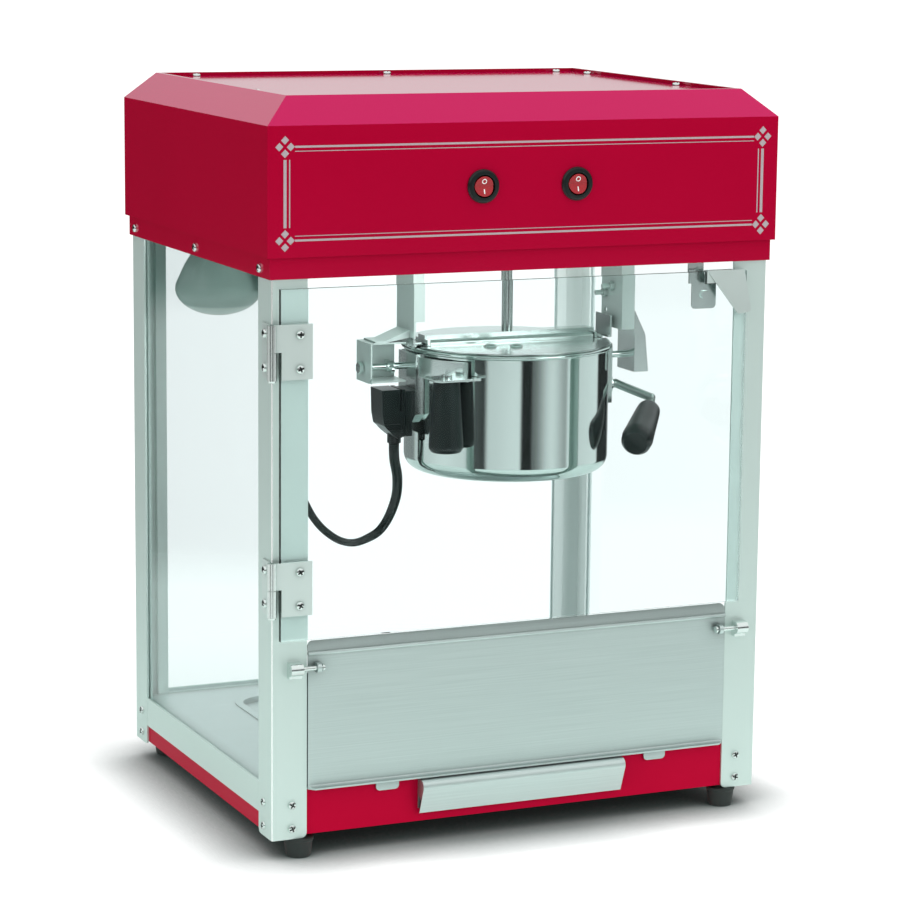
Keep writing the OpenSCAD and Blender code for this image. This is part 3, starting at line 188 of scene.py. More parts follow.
# Small soft light under the cabinet's ceiling, which fills the inside through the front
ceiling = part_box("ceiling_plate")[0].z
inner = soft_light("cabinet_fill", (-0.01, -0.11, ceiling - 0.004), (0.06, 0.15, 0.1), (0.16, 0.03), 0.4)
inner.visible_camera = False

bpy.ops.mesh.primitive_plane_add(size=12, location=(0, 0, 0))
floor = bpy.context.object
floor.name = "floor"
# Matt white sweep. Polished metal sees it only near the machine, and the scrims past its edge.
paper = bpy.data.materials.new("white_paper")
paper.use_nodes = True
tree = paper.node_tree
tree.nodes.clear()
straight, mirrored = ray_tests()
place = add(tree, "ShaderNodeTexCoord")
away = add(tree, "ShaderNodeVectorMath", {0: place.outputs["Object"]}, operation="LENGTH")
edge = add(tree, "ShaderNodeMapRange", {"Value": away.outputs["Value"]}, {"From Min": 0.8, "From Max": 1.0})
past = add(tree, "ShaderNodeMath", {0: edge.outputs[0], 1: mirrored}, operation="MULTIPLY")
# Near the machine the paper's shadow is partly painted: ambient occlusion turns its colour dark green and
# dims its glow, on top of the lamps' own shadow.
corner = add(tree, "ShaderNodeAmbientOcclusion", None, {"Color": (1, 1, 1, 1), "Distance": 0.055}, samples=8)
painted_shadow_ao = add(tree, "ShaderNodeMath", {0: corner.outputs["AO"]}, {1: 2.2}, operation="POWER")
glow_outside_painted_shadow = add(tree, "ShaderNodeMath", {0: painted_shadow_ao.outputs[0]}, {1: 0.75}, operation="MULTIPLY")
shade = add(tree, "ShaderNodeMix", {0: painted_shadow_ao.outputs[0]}, {6: linear("1C443D"), 7: (0.42, 0.42, 0.42, 1)},
            data_type="RGBA")
sweep = add(tree, "ShaderNodeBsdfDiffuse", None, {"Color": linear("F4FAF8")})
seen = add(tree, "ShaderNodeBsdfDiffuse", {"Color": shade.outputs[2]})
veil = add(tree, "ShaderNodeEmission", {"Strength": glow_outside_painted_shadow.outputs[0]}, {"Color": (1, 1, 1, 1)})
twice = add(tree, "ShaderNodeAddShader", {0: seen.outputs[0], 1: veil.outputs[0]})
glare = add(tree, "ShaderNodeEmission", None, {"Color": (1, 1, 1, 1), "Strength": 1.2})
spread = add(tree, "ShaderNodeMapRange", {"Value": away.outputs["Value"]},
             {"From Min": 0.34, "From Max": 0.5})
near = add(tree, "ShaderNodeMixShader", {0: spread.outputs[0], 1: twice.outputs[0], 2: glare.outputs[0]})
clear = add(tree, "ShaderNodeBsdfTransparent")
table = add(tree, "ShaderNodeMixShader", {0: past.outputs[0], 1: sweep.outputs[0], 2: clear.outputs[0]})
pick = add(tree, "ShaderNodeMixShader", {0: straight, 1: table.outputs[0], 2: near.outputs[0]})
add(tree, "ShaderNodeOutputMaterial", {"Surface": pick.outputs[0]})
floor.data.materials.append(paper)
floor.select_set(False)

# ---------------------------------------------------------------- kettle cord
# Flat two-core heater cord with a moulded groove between the cores, hanging in one loop
# from the connector and up to the gland in the ceiling.
CORD = [(-37, 0, 256), (-37, 0, 250), (-36, 1, 242), (-33, 3, 230), (-32, 7, 215), (-35, 13, 199),
        (-40, 20, 187), (-47, 28, 180), (-54, 36, 176), (-62, 44, 177), (-70, 52, 183), (-76, 58, 191),
        (-80, 63, 200),
        (-85, 67, 213), (-89, 70, 229), (-91, 73, 250), (-92, 75, 275), (-92, 76, 305), (-92, 77, 335),
        (-92, 77, 365), (-92, 77, 391)]
points = [Vector(p) / 1000 for p in CORD]
SIDES, HALF_WIDE, HALF_THICK = 20, 0.0038, 0.00195


def smooth_line(points, steps):
    out = []
    for i in range(len(points) - 1):
        a, b, c, d = (points[max(i - 1, 0)], points[i], points[i + 1], points[min(i + 2, len(points) - 1)])
        for k in range(steps):
            t = k / steps
            out.append(0.5 * ((2 * b) + (c - a) * t + (2 * a - 5 * b + 4 * c - d) * t * t
                              + (3 * b - a - 3 * c + d) * t ** 3))
    return out + [points[-1]]


line = smooth_line(points, 4)
profile = []
for i in range(SIDES):
    angle = i * math.tau / SIDES
    across, thick = math.cos(angle), math.sin(angle)
    pinch = 1 - 0.42 * math.exp(-(across * 4.0) ** 2)
    profile.append((across * HALF_WIDE, thick * HALF_THICK * pinch))
mesh = bmesh.new()
rings = []
for i, p in enumerate(line):
    run = (line[min(i + 1, len(line) - 1)] - line[max(i - 1, 0)]).normalized()
    side = run.cross(Vector((0.55, 0.84, 0))).normalized()
    side.rotate(Matrix.Rotation(math.radians(68) * min(1, max(0, (i - 12) / 22)), 3, run))
    out = side.cross(run)
    rings.append([mesh.verts.new(p + side * u + out * v) for u, v in profile])
for a, b in zip(rings, rings[1:]):
    for i in range(SIDES):
        after = (i + 1) % SIDES
        mesh.faces.new((a[i], a[after], b[after], b[i]))
mesh.faces.new(rings[0][::-1])
mesh.faces.new(rings[-1])
bmesh.ops.recalc_face_normals(mesh, faces=mesh.faces)
data = bpy.data.meshes.new("kettle_cord_flex")
mesh.to_mesh(data)
mesh.free()
flex = bpy.data.objects.new("kettle_cord_flex", data)
bpy.context.scene.collection.objects.link(flex)
for face in data.polygons:
    face.use_smooth = True


def new_material(name):
    """A new material, its node tree and its main shader."""
    material = bpy.data.materials.new(name)
    material.use_nodes = True
    return material, material.node_tree, material.node_tree.nodes["Principled BSDF"]


# PVC, extruded: black, a little glossy, with a faint drag along its length.
pvc, tree, shader = new_material("extruded_pvc_cord")
shader.inputs["Base Color"].default_value = linear("111B19")
shader.inputs["Roughness"].default_value = 0.2
place = add(tree, "ShaderNodeTexCoord")
grain = add(tree, "ShaderNodeTexNoise", {"Vector": place.outputs["Object"]}, {"Scale": 900.0})
relief = add(tree, "ShaderNodeBump", {"Height": grain.outputs[0]}, {"Strength": 0.12, "Distance": 0.0001})
tree.links.new(relief.outputs[0], shader.inputs["Normal"])
data.materials.append(pvc)
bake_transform(flex)
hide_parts("kettle_cord")


# ---------------------------------------------------------------- roof
# Folded sheet steel with a powder coat: hipped canopy, sunk top panel and the trim band
# under it. The coat rounds every fold and shows a faint orange peel.
def finish_with(obj, material):
    obj.data.materials.clear()
    obj.data.materials.append(material)


def head_tips(node):
    """Middles of domed screw heads, where many faces of a shallow cone meet, and their way."""
    data = frame["nodes"][node].data
    meeting = {}
    for face in data.polygons:
        for corner in face.vertices:
            spot = tuple(round(c, 5) for c in data.vertices[corner].co)
            meeting.setdefault(spot, []).append(face.normal.copy())
    tips = []
    for spot, normals in meeting.items():
        mean = sum(normals, Vector()).normalized()
        lean = [normal.angle(mean, 3) for normal in normals]
        if len(normals) >= 8 and max(lean) < 0.14 and min(lean) > 0.02:
            tips.append((Vector(spot), mean))
    heads = []
    for spot, way in tips:
        near = [head for head in heads if (head["spots"][0] - spot).length < 0.005]
        if near:
            near[0]["spots"].append(spot)
            near[0]["way"] += way
        else:
            heads.append({"spots": [spot], "way": way.copy()})
    return [(sum(head["spots"], Vector()) / len(head["spots"]), head["way"].normalized()) for head in heads]


def cross_recesses(piece, tips):
    """Cuts a cross recess into each head; the cutter's own material, dark as painted shade, lines the cut."""
    arms = []
    for k, (spot, way) in enumerate(tips):
        twist = Matrix.Rotation(0.4 + 1.1 * k, 4, "Z")
        stand = Matrix.Translation(spot) @ way.to_track_quat("Z", "Y").to_matrix().to_4x4() @ twist
        for half in ((0.0021, 0.00052, 0.0011), (0.00052, 0.0021, 0.0011)):
            bpy.ops.mesh.primitive_cube_add(size=2)
            arm = bpy.context.object
            arm.scale = half
            bpy.ops.object.transform_apply(location=False, rotation=False)
            arm.matrix_world = stand
            bpy.ops.object.transform_apply()
            finish_with(arm, recess)
            arms.append(arm)
            arm.select_set(False)
    for part in (arms[0::2], arms[1::2]):
        for arm in part:
            arm.select_set(True)
        bpy.context.view_layer.objects.active = part[0]
        bpy.ops.object.join()
        cutter = bpy.context.object
        cutter.select_set(False)
        bpy.context.view_layer.objects.active = piece
        cut = piece.modifiers.new("recess", "BOOLEAN")
        cut.operation = "DIFFERENCE"
        cut.solver = "EXACT"
        cut.material_mode = "TRANSFER"
        cut.object = cutter
        piece.select_set(True)
        bpy.ops.object.modifier_apply(modifier=cut.name)
        piece.select_set(False)
        bpy.data.objects.remove(cutter)


def dressed(node, material, soften=0.35, angle=32, recessed=False, fold=None, radius=0.0):
    """A merged copy of a CAD node with softened edges, which then stands for it; fold picks the
    ends of an edge that has a radius of its own."""
    piece = bpy.data.objects.new(node + "_skin", frame["nodes"][node].data.copy())
    bpy.context.scene.collection.objects.link(piece)
    bpy.context.view_layer.objects.active = piece
    piece.select_set(True)
    bpy.ops.object.mode_set(mode="EDIT")
    bpy.ops.mesh.select_all(action="SELECT")
    bpy.ops.mesh.remove_doubles(threshold=0.00001)
    bpy.ops.mesh.dissolve_limited(angle_limit=math.radians(1.2))
    bpy.ops.mesh.customdata_custom_splitnormals_clear()
    bpy.ops.object.mode_set(mode="OBJECT")
    if fold:
        points = piece.data.vertices
        for point in points:
            point.select = fold(point.co)
        for edge in piece.data.edges:
            edge.select = all(points[k].select for k in edge.vertices)
        for face in piece.data.polygons:
            face.select = False
        bpy.ops.object.mode_set(mode="EDIT")
        bpy.ops.mesh.select_mode(type="EDGE")
        bpy.ops.mesh.bevel(offset=radius, offset_type="OFFSET", segments=6, clamp_overlap=False)
        bpy.ops.object.mode_set(mode="OBJECT")
    if soften:
        edge = piece.modifiers.new("edges", "BEVEL")
        edge.width = soften / 1000
        edge.segments = 2
        edge.limit_method = "ANGLE"
        edge.angle_limit = math.radians(angle)
        edge.use_clamp_overlap = True
        bpy.ops.object.modifier_apply(modifier=edge.name)
    finish_with(piece, material)
    piece.select_set(False)
    tips = head_tips(node) if recessed else []
    if tips:
        cross_recesses(piece, tips)
    bpy.context.view_layer.objects.active = piece
    piece.select_set(True)
    bpy.ops.object.shade_smooth_by_angle(angle=math.radians(angle))
    flat = piece.modifiers.new("flat", "WEIGHTED_NORMAL")
    flat.keep_sharp = True
    bpy.ops.object.modifier_apply(modifier=flat.name)
    piece.select_set(False)
    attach(piece, body_with[node])
    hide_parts(node)
    return piece


# Recess of a cross-head screw: painted dark, standing in for the shade inside it.
recess, tree, shader = new_material("screw_recess_painted_shade")
shader.inputs["Base Color"].default_value = linear("1C2523")
shader.inputs["Roughness"].default_value = 0.55
place = add(tree, "ShaderNodeTexCoord")
dirt = add(tree, "ShaderNodeTexNoise", {"Vector": place.outputs["Object"]}, {"Scale": 2500.0})
relief = add(tree, "ShaderNodeBump", {"Height": dirt.outputs[0]}, {"Strength": 0.1, "Distance": 0.0001})
tree.links.new(relief.outputs[0], shader.inputs["Normal"])

# Powder-coated steel: an even deep red, glossy, with a fine orange peel of about 1.5 mm. Its
# reflections are tinted pink and it turns lighter and more magenta where it faces up: painted sheen.
coat, tree, shader = new_material("powder_coated_steel_red")
shader.inputs["Roughness"].default_value = 0.1
shader.inputs["Specular IOR Level"].default_value = 0.4
shader.inputs["Specular Tint"].default_value = linear("F2A8E8")
place = add(tree, "ShaderNodeTexCoord")
cloud = add(tree, "ShaderNodeTexNoise", {"Vector": place.outputs["Object"]}, {"Scale": 9.0, "Detail": 2.0})
tone = add(tree, "ShaderNodeMix", {0: cloud.outputs[0]}, {6: linear("A2042A"), 7: linear("A7052D")},
           data_type="RGBA")
lean = add(tree, "ShaderNodeSeparateXYZ", {"Vector": place.outputs["Normal"]})
painted_sheen_mask = add(tree, "ShaderNodeMapRange", {"Value": lean.outputs["Z"]}, {"From Min": 0.05, "From Max": 0.65})
painted_sky_sheen = add(tree, "ShaderNodeMix", {0: painted_sheen_mask.outputs[0], 6: tone.outputs[2]}, {7: linear("B60E4C")},
           data_type="RGBA")
tree.links.new(painted_sky_sheen.outputs[2], shader.inputs["Base Color"])
peel = add(tree, "ShaderNodeTexNoise", {"Vector": place.outputs["Object"]}, {"Scale": 650.0, "Detail": 1.0})
relief = add(tree, "ShaderNodeBump", {"Height": peel.outputs[0]}, {"Strength": 0.03, "Distance": 0.0002})
tree.links.new(relief.outputs[0], shader.inputs["Normal"])
for node in ("roof_canopy", "roof_top_panel", "trim_band"):
    dressed(node, coat, 0.6 if node == "roof_canopy" else 0.35)

# Painted border on the roof's front: a wide and a thin line of silver-grey paint with four
# small lozenges at each corner, screen-printed, so barely proud of the coat.
face_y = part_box("roof_canopy")[0].y
BORDER_X, BORDER_LOW, BORDER_HIGH = 0.1778, 0.4228, 0.4842
BARS = []                              # middle in X and Z, and half sizes
for z, inward in ((BORDER_LOW, 1), (BORDER_HIGH, -1)):
    BARS.append((0, z, BORDER_X - 0.0070, 0.00068))
    BARS.append((0, z + inward * 0.0029, BORDER_X - 0.0070, 0.00025))
middle = (BORDER_LOW + BORDER_HIGH) / 2
half_high = (BORDER_HIGH - BORDER_LOW) / 2 - 0.0084
for side in (-1, 1):
    BARS.append((side * BORDER_X, middle, 0.00105, half_high))
    BARS.append((side * (BORDER_X - 0.0032), middle, 0.0004, half_high))
LOZENGE = (0.0027, 0.0029)             # half sizes
LOZENGES = [(side * BORDER_X + dx, z + dz) for side in (-1, 1) for z in (BORDER_LOW, BORDER_HIGH)
            for dx, dz in ((0.0040, 0), (-0.0040, 0), (0, 0.0044), (0, -0.0044))]
inked = []
for x, z, half_x, half_z in BARS + [(x, z, *LOZENGE) for x, z in LOZENGES]:
    bpy.ops.mesh.primitive_cube_add(size=2, location=(x, face_y, z), scale=(half_x, 0.00012, half_z))
    patch = bpy.context.object
    if half_x == LOZENGE[0]:
        bpy.ops.object.transform_apply(location=False, rotation=False)
        patch.scale = (0.7071, 1, 0.7071)
        bpy.ops.object.transform_apply(location=False, rotation=False)
        patch.rotation_euler = (0, math.radians(45), 0)
    inked.append(patch)
for patch in inked:
    patch.select_set(True)
bpy.ops.object.transform_apply(location=True, rotation=True, scale=True)
bpy.ops.object.join()
border = bpy.context.object
border.name = "border_print"
border.select_set(False)
ink, tree, shader = new_material("screen_ink_silver_grey")
shader.inputs["Roughness"].default_value = 0.45
place = add(tree, "ShaderNodeTexCoord")
speck = add(tree, "ShaderNodeTexNoise", {"Vector": place.outputs["Object"]}, {"Scale": 700.0})
tone = add(tree, "ShaderNodeMix", {0: speck.outputs[0]}, {6: linear("A3959A"), 7: linear("B3A5A9")},
           data_type="RGBA")
tree.links.new(tone.outputs[2], shader.inputs["Base Color"])
finish_with(border, ink)
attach(border, "cabinet")

# ---------------------------------------------------------------- base
# The same sheet, folded into a tray with the drawer's opening in its front. Its coat is less
# glossy than the roof's, so that the table doesn't show in it.
coat_satin = coat.copy()
coat_satin.name = "powder_coated_steel_red_satin"
shader = coat_satin.node_tree.nodes["Principled BSDF"]
shader.inputs["Roughness"].default_value = 0.4
shader.inputs["Specular IOR Level"].default_value = 0.06
# The base's red is painted lighter than the roof's, standing in for light that its low faces lack.
for node in coat_satin.node_tree.nodes:
    if node.type == "MIX" and not node.inputs[6].is_linked:
        node.inputs[6].default_value, node.inputs[7].default_value = linear("B8062F"), linear("BE0832")
dressed("base_body", coat_satin, 0.35)

# ---------------------------------------------------------------- posts and rails
# Extruded aluminium angles and channels, etched and anodised: pale, satin, with faint
# lines from the die along their length.
anodised, tree, shader = new_material("anodised_aluminium")
shader.inputs["Metallic"].default_value = 0.75
shader.inputs["Base Color"].default_value = linear("DCECE7")
place = add(tree, "ShaderNodeTexCoord")
pull = add(tree, "ShaderNodeMapping", {"Vector": place.outputs["Object"]})
pull.inputs["Scale"].default_value = (1, 1, 0.004)
lines = add(tree, "ShaderNodeTexNoise", {"Vector": pull.outputs[0]}, {"Scale": 1400.0, "Detail": 2.0})
gloss = add(tree, "ShaderNodeMapRange", {"Value": lines.outputs[0]}, {"To Min": 0.42, "To Max": 0.54})
tree.links.new(gloss.outputs[0], shader.inputs["Roughness"])
relief = add(tree, "ShaderNodeBump", {"Height": lines.outputs[0]}, {"Strength": 0.06, "Distance": 0.0001})
tree.links.new(relief.outputs[0], shader.inputs["Normal"])
for node in ("post_front_right", "post_back_left"):
    dressed(node, anodised, 0.35)

# The front left post's outer corner has a painted highlight: a near-white, glossier finish on its rounded
# edge
painted_highlight_edge, tree, shader = new_material("aluminium_edge_painted_highlight")
shader.inputs["Metallic"].default_value = 0.8
shader.inputs["Base Color"].default_value = linear("FBFEFD")
place = add(tree, "ShaderNodeTexCoord")
edge_gloss_noise = add(tree, "ShaderNodeTexNoise", {"Vector": place.outputs["Object"]}, {"Scale": 60.0})
gloss = add(tree, "ShaderNodeMapRange", {"Value": edge_gloss_noise.outputs[0]}, {"To Min": 0.16, "To Max": 0.26})
tree.links.new(gloss.outputs[0], shader.inputs["Roughness"])
post = dressed("post_front_left", anodised, 0.25, radius=0.0011,
               fold=lambda spot: abs(spot.x + 0.1855) < 0.0001 and abs(spot.y + 0.1465) < 0.0001)
post.data.materials.append(painted_highlight_edge)
for face in post.data.polygons:
    outward = face.normal.x < -0.15 and face.normal.y < -0.15
    if outward and face.center.x < -0.1843 and face.center.y < -0.1453:
        face.material_index = 1
# Back right post: a paler, almost non-metallic copy of the anodised finish, painted light for the light it
# lacks inside the cabinet.
lit_anodised_copy = anodised.copy()
lit_anodised_copy.name = "anodised_aluminium_lit_copy"
shader = lit_anodised_copy.node_tree.nodes["Principled BSDF"]
shader.inputs["Metallic"].default_value = 0.08
shader.inputs["Base Color"].default_value = linear("FAFDFC")
dressed("post_back_right", lit_anodised_copy, 0.35)
for node in ("rail_left", "rail_right", "rail_back"):
    dressed(node, anodised, 0.3)

# ---------------------------------------------------------------- panes
# Clear float glass with a faint green from its thickness, and a lens-like coating that keeps
# the room's reflections low, so that the kettle behind it stays crisp.
glass, tree, shader = new_material("float_glass")
shader.inputs["Base Color"].default_value = linear("F5FBFB")
shader.inputs["Specular Tint"].default_value = (0.1, 0.12, 0.12, 1)
shader.inputs["Roughness"].default_value = 0.0
shader.inputs["IOR"].default_value = 1.45
shader.inputs["Transmission Weight"].default_value = 1.0
path = add(tree, "ShaderNodeLightPath")
lit = add(tree, "ShaderNodeMath", {0: path.outputs["Is Shadow Ray"], 1: path.outputs["Diffuse Depth"]},
          operation="MAXIMUM")
inside = add(tree, "ShaderNodeMath", {0: lit.outputs[0]}, {1: 0.5}, operation="GREATER_THAN")
clear = add(tree, "ShaderNodeBsdfTransparent", None, {"Color": (0.96, 0.98, 0.98, 1)})
through = add(tree, "ShaderNodeMixShader", {0: inside.outputs[0], 1: shader.outputs[0], 2: clear.outputs[0]})
tree.links.new(through.outputs[0], tree.nodes["Material Output"].inputs["Surface"])
for node in ("pane_left", "pane_right", "pane_back", "door_pane"):
    finish_with(frame["nodes"][node], glass)

# ---------------------------------------------------------------- deck, flap and drawer
# Stainless sheet with a fine brushed grain that runs across the machine.
def painted_corner_shade(tree, shader, reach, depth):
    """Paints shade into the base colour: darker in inner corners and round fittings, by ambient occlusion."""
    socket = shader.inputs["Base Color"]
    corner = add(tree, "ShaderNodeAmbientOcclusion", None, {"Distance": reach}, samples=6)
    soft = add(tree, "ShaderNodeMapRange", {"Value": corner.outputs["AO"]}, {"To Min": depth, "To Max": 1.0})
    dim = add(tree, "ShaderNodeMix", {7: soft.outputs[0]}, {0: 1.0}, data_type="RGBA", blend_type="MULTIPLY")
    if socket.is_linked:
        tree.links.new(socket.links[0].from_socket, dim.inputs[6])
    else:
        dim.inputs[6].default_value = socket.default_value
    tree.links.new(dim.outputs[2], socket)


brushed, tree, shader = new_material("brushed_stainless_sheet")
shader.inputs["Metallic"].default_value = 1.0
place = add(tree, "ShaderNodeTexCoord")
pull = add(tree, "ShaderNodeMapping", {"Vector": place.outputs["Object"]})
pull.inputs["Scale"].default_value = (0.012, 1, 1)
grain = add(tree, "ShaderNodeTexNoise", {"Vector": pull.outputs[0]}, {"Scale": 1100.0, "Detail": 3.0})
tone = add(tree, "ShaderNodeMix", {0: grain.outputs[0]}, {6: linear("C6D6D3"), 7: linear("DFECEA")},
           data_type="RGBA")
tree.links.new(tone.outputs[2], shader.inputs["Base Color"])
gloss = add(tree, "ShaderNodeMapRange", {"Value": grain.outputs[0]}, {"To Min": 0.42, "To Max": 0.56})
tree.links.new(gloss.outputs[0], shader.inputs["Roughness"])
relief = add(tree, "ShaderNodeBump", {"Height": grain.outputs[0]}, {"Strength": 0.1, "Distance": 0.0001})
tree.links.new(relief.outputs[0], shader.inputs["Normal"])
# Painted shade: the sheet darkens in its inner corners and round its fittings.
painted_corner_shade(tree, shader, 0.014, 0.2)
for node in ("deck", "kernel_sifter", "crumb_drawer", "drawer_runners"):
    dressed(node, brushed, 0.3)
dressed("serving_panel", brushed, 0.2, radius=0.0036,
        fold=lambda spot: abs(spot.y + 0.1473) < 0.0001 and abs(spot.z - 0.0492) < 0.0001)

# Black strips on the posts, just behind the flap's upright edges, below its pivots: painted shade, standing
# in for the dark gap there
shadow_gap_black, tree, shader = new_material("black_painted_shadow_gap")
shader.inputs["Base Color"].default_value = linear("0C1211")
shader.inputs["Roughness"].default_value = 0.9
place = add(tree, "ShaderNodeTexCoord")
fuzz = add(tree, "ShaderNodeTexNoise", {"Vector": place.outputs["Object"]}, {"Scale": 1800.0})
relief = add(tree, "ShaderNodeBump", {"Height": fuzz.outputs[0]}, {"Strength": 0.4, "Distance": 0.0002})
tree.links.new(relief.outputs[0], shader.inputs["Normal"])
for side in (-1, 1):
    bpy.ops.mesh.primitive_cube_add(size=2, location=(side * 0.1594, -0.1452, 0.089),
                                    scale=(0.0007, 0.0005, 0.04))
    strip = bpy.context.object
    strip.name = "flap_shadow_gap_" + ("left" if side < 0 else "right")
    bpy.ops.object.transform_apply()
    strip.select_set(False)
    finish_with(strip, shadow_gap_black)
    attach(strip, "cabinet")

# ---------------------------------------------------------------- bright hardware
# Hinges, brackets, pins and screws: steel with bright nickel plating, smooth and glossy.
nickel, tree, shader = new_material("bright_nickel_plate")
shader.inputs["Metallic"].default_value = 1.0
shader.inputs["Base Color"].default_value = linear("E2ECE9")
place = add(tree, "ShaderNodeTexCoord")
wear = add(tree, "ShaderNodeTexNoise", {"Vector": place.outputs["Object"]}, {"Scale": 160.0, "Detail": 3.0})
gloss = add(tree, "ShaderNodeMapRange", {"Value": wear.outputs[0]}, {"To Min": 0.14, "To Max": 0.28})
tree.links.new(gloss.outputs[0], shader.inputs["Roughness"])
for node in ("lid_front", "lid_rear", "catch_bracket", "pivot_bracket_right", "flap_pins", "wing_screw",
             "drive_coupling", "stirrer", "kettle_crossbar", "kettle_ears", "flap_ears"):
    dressed(node, nickel, 0.2)
for node in ("roof_top_screws", "trim_screws", "post_screws", "hanger_screws"):
    dressed(node, nickel, 0, recessed=True)

# Leaves, arms and brackets: pressed sheet, zinc-plated and passivated, so pale, satin and
# faintly streaked along the roll's direction.
zinc, tree, shader = new_material("zinc_plated_sheet")
shader.inputs["Metallic"].default_value = 0.7
shader.inputs["Base Color"].default_value = linear("DDEAE6")
place = add(tree, "ShaderNodeTexCoord")
pull = add(tree, "ShaderNodeMapping", {"Vector": place.outputs["Object"]})
pull.inputs["Scale"].default_value = (1, 1, 0.05)
streak = add(tree, "ShaderNodeTexNoise", {"Vector": pull.outputs[0]}, {"Scale": 900.0, "Detail": 2.0})
gloss = add(tree, "ShaderNodeMapRange", {"Value": streak.outputs[0]}, {"To Min": 0.3, "To Max": 0.44})
tree.links.new(gloss.outputs[0], shader.inputs["Roughness"])
# Painted shade: the plating darkens in inner corners and round fittings.
painted_corner_shade(tree, shader, 0.008, 0.3)
for node in ("door_handle", "hanger_arm_left", "hanger_arm_right", "pivot_bracket_left", "lamp_shield",
             "ceiling_plate", "motor_bracket"):
    dressed(node, zinc, 0.2)

# Hinges: the leaves keep the pale zinc; the rolled knuckles and the screw heads are bright
KNUCKLE = (-0.1868, -0.1505, 0.0034)
for node in ("hinge_post_leaves", "hinge_door_leaves"):
    leaves = dressed(node, zinc, 0.15, recessed=True)
    leaves.data.materials.append(nickel)
    shiny = len(leaves.data.materials) - 1
    heads = head_tips(node)
    for face in leaves.data.polygons:
        spot = face.center
        rolled = math.hypot(spot.x - KNUCKLE[0], spot.y - KNUCKLE[1]) < KNUCKLE[2]
        on_head = any((spot - head).length < 0.0038 and abs((spot - head).dot(way)) < 0.0016
                      for head, way in heads)
        if face.material_index == 0 and (rolled or on_head):
            face.material_index = shiny

# ---------------------------------------------------------------- kettle
# Spun stainless pot, mirror-polished, with the inner pan of satin steel.
polish, tree, shader = new_material("mirror_polished_stainless")
shader.inputs["Metallic"].default_value = 1.0
shader.inputs["Base Color"].default_value = linear("D2DEDA")
shader.inputs["Roughness"].default_value = 0.07
place = add(tree, "ShaderNodeTexCoord")
pull = add(tree, "ShaderNodeMapping", {"Vector": place.outputs["Object"]})
pull.inputs["Scale"].default_value = (1, 1, 0.12)
swirl = add(tree, "ShaderNodeTexNoise", {"Vector": pull.outputs[0]}, {"Scale": 55.0, "Detail": 1.0})
relief = add(tree, "ShaderNodeBump", {"Height": swirl.outputs[0]}, {"Strength": 0.05, "Distance": 0.0006})
tree.links.new(relief.outputs[0], shader.inputs["Normal"])
dressed("kettle_pot", polish, 0)
satin, tree, shader = new_material("satin_stainless")
shader.inputs["Metallic"].default_value = 1.0
shader.inputs["Base Color"].default_value = linear("A9B7B2")
place = add(tree, "ShaderNodeTexCoord")
grain = add(tree, "ShaderNodeTexNoise", {"Vector": place.outputs["Object"]}, {"Scale": 240.0, "Detail": 3.0})
gloss = add(tree, "ShaderNodeMapRange", {"Value": grain.outputs[0]}, {"To Min": 0.28, "To Max": 0.4})
tree.links.new(gloss.outputs[0], shader.inputs["Roughness"])
for node in ("kettle_pan", "crank_rod", "gear_motor"):
    dressed(node, satin, 0)

# Grips, connector and fittings: black moulded phenolic and nylon, satin, with mould grain.
phenolic, tree, shader = new_material("moulded_phenolic_black")
shader.inputs["Base Color"].default_value = linear("0A1413")
shader.inputs["Roughness"].default_value = 0.3
place = add(tree, "ShaderNodeTexCoord")
grain = add(tree, "ShaderNodeTexNoise", {"Vector": place.outputs["Object"]}, {"Scale": 1200.0, "Detail": 1.0})
relief = add(tree, "ShaderNodeBump", {"Height": grain.outputs[0]}, {"Strength": 0.1, "Distance": 0.0001})
tree.links.new(relief.outputs[0], shader.inputs["Normal"])
for node in ("left_grip", "crank_grip", "cord_connector", "lamp_holder", "switch_bezels", "cord_gland",
             "mains_inlet"):
    dressed(node, phenolic, 0.3)

# Rubber feet: matt, slightly grey.
rubber, tree, shader = new_material("moulded_rubber")
shader.inputs["Base Color"].default_value = linear("202725")
shader.inputs["Roughness"].default_value = 0.6
place = add(tree, "ShaderNodeTexCoord")
grain = add(tree, "ShaderNodeTexNoise", {"Vector": place.outputs["Object"]}, {"Scale": 900.0, "Detail": 2.0})
relief = add(tree, "ShaderNodeBump", {"Height": grain.outputs[0]}, {"Strength": 0.2, "Distance": 0.0001})
tree.links.new(relief.outputs[0], shader.inputs["Normal"])
dressed("feet", rubber, 0.3)

# ---------------------------------------------------------------- lamp
# Reflector lamp: grey coated bowl and a lightly frosted face.
bulb, tree, shader = new_material("frosted_lamp_glass")
shader.inputs["Roughness"].default_value = 0.3
place = add(tree, "ShaderNodeTexCoord")
height = add(tree, "ShaderNodeSeparateXYZ", {"Vector": place.outputs["Object"]})
cut = add(tree, "ShaderNodeMapRange", {"Value": height.outputs["Z"]})
cut.inputs["From Min"].default_value = 0.3495
cut.inputs["From Max"].default_value = 0.3515
tone = add(tree, "ShaderNodeMix", {0: cut.outputs[0]}, {6: linear("B9C8C2"), 7: linear("8FA39D")},
           data_type="RGBA")
tree.links.new(tone.outputs[2], shader.inputs["Base Color"])
dressed("lamp_bulb", bulb, 0)

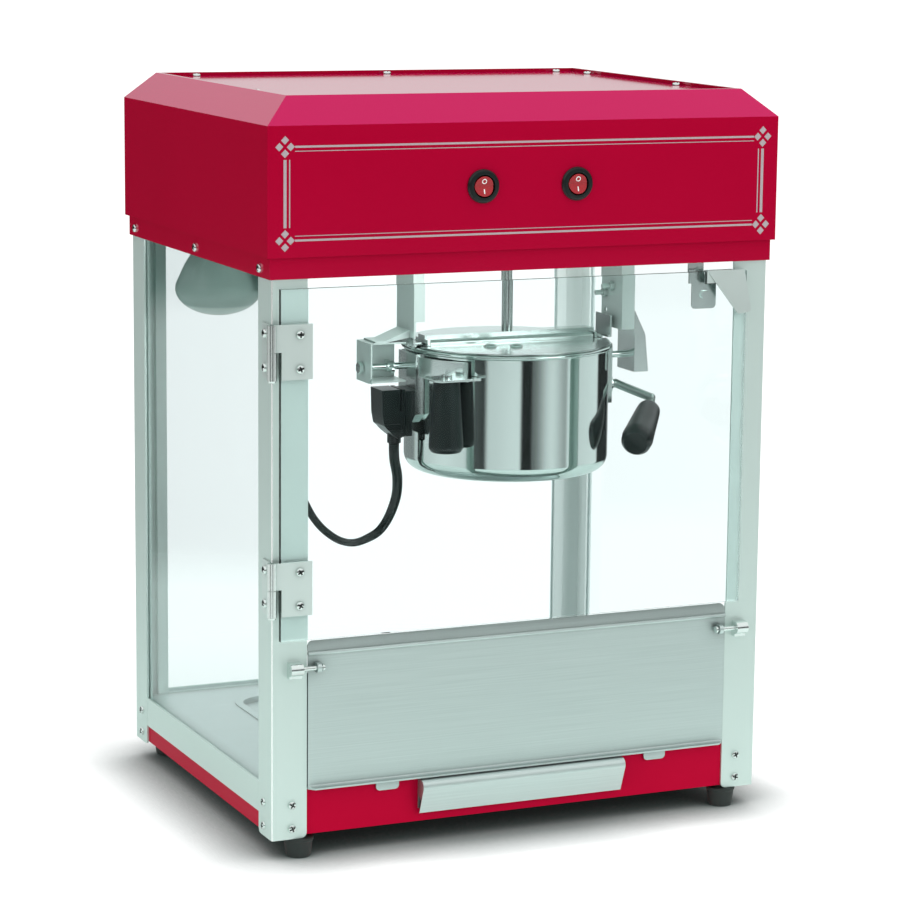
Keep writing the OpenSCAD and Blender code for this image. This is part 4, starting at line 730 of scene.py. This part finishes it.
# ---------------------------------------------------------------- switches
# Round rockers of clear red plastic in black snap-in bezels, with white on and off marks.
red_plastic, tree, shader = new_material("polycarbonate_red")
shader.inputs["Base Color"].default_value = linear("980A18")
shader.inputs["Roughness"].default_value = 0.25
shader.inputs["Subsurface Weight"].default_value = 0.1
shader.inputs["Subsurface Radius"].default_value = (0.004, 0.0008, 0.0008)
place = add(tree, "ShaderNodeTexCoord")
grain = add(tree, "ShaderNodeTexNoise", {"Vector": place.outputs["Object"]}, {"Scale": 500.0})
relief = add(tree, "ShaderNodeBump", {"Height": grain.outputs[0]}, {"Strength": 0.03, "Distance": 0.0001})
tree.links.new(relief.outputs[0], shader.inputs["Normal"])
for node in ("rocker_light", "rocker_pop"):
    dressed(node, red_plastic, 0.3)

# The usual off ring above and on bar below, pad-printed in white on the two slopes of each rocker
white_ink, tree, shader = new_material("pad_print_white")
shader.inputs["Base Color"].default_value = linear("F4F6F4")
shader.inputs["Roughness"].default_value = 0.5
place = add(tree, "ShaderNodeTexCoord")
grain = add(tree, "ShaderNodeTexNoise", {"Vector": place.outputs["Object"]}, {"Scale": 1500.0})
relief = add(tree, "ShaderNodeBump", {"Height": grain.outputs[0]}, {"Strength": 0.05, "Distance": 0.0001})
tree.links.new(relief.outputs[0], shader.inputs["Normal"])
for node in ("rocker_light", "rocker_pop"):
    low_corner, high_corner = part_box(node)[:2]
    across = (low_corner[0] + high_corner[0]) / 2
    front_y = low_corner[1]
    slope = math.radians(16.2)
    bpy.ops.mesh.primitive_torus_add(major_radius=0.0015, minor_radius=0.00032,
                                     major_segments=32, minor_segments=8,
                                     location=(across, front_y + 0.00085, 0.4584),
                                     rotation=(math.pi / 2 + slope, 0, 0))
    ring = bpy.context.object
    bpy.ops.mesh.primitive_cube_add(size=2, location=(across, front_y + 0.00085, 0.4516),
                                    rotation=(-slope, 0, 0), scale=(0.00034, 0.0002, 0.0016))
    bar = bpy.context.object
    ring.select_set(True)
    bpy.ops.object.transform_apply()
    bpy.ops.object.join()
    marks = bpy.context.object
    marks.name = node + "_marks"
    bpy.ops.object.shade_smooth_by_angle(angle=math.radians(40))
    marks.select_set(False)
    finish_with(marks, white_ink)
    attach(marks, body_with[node])
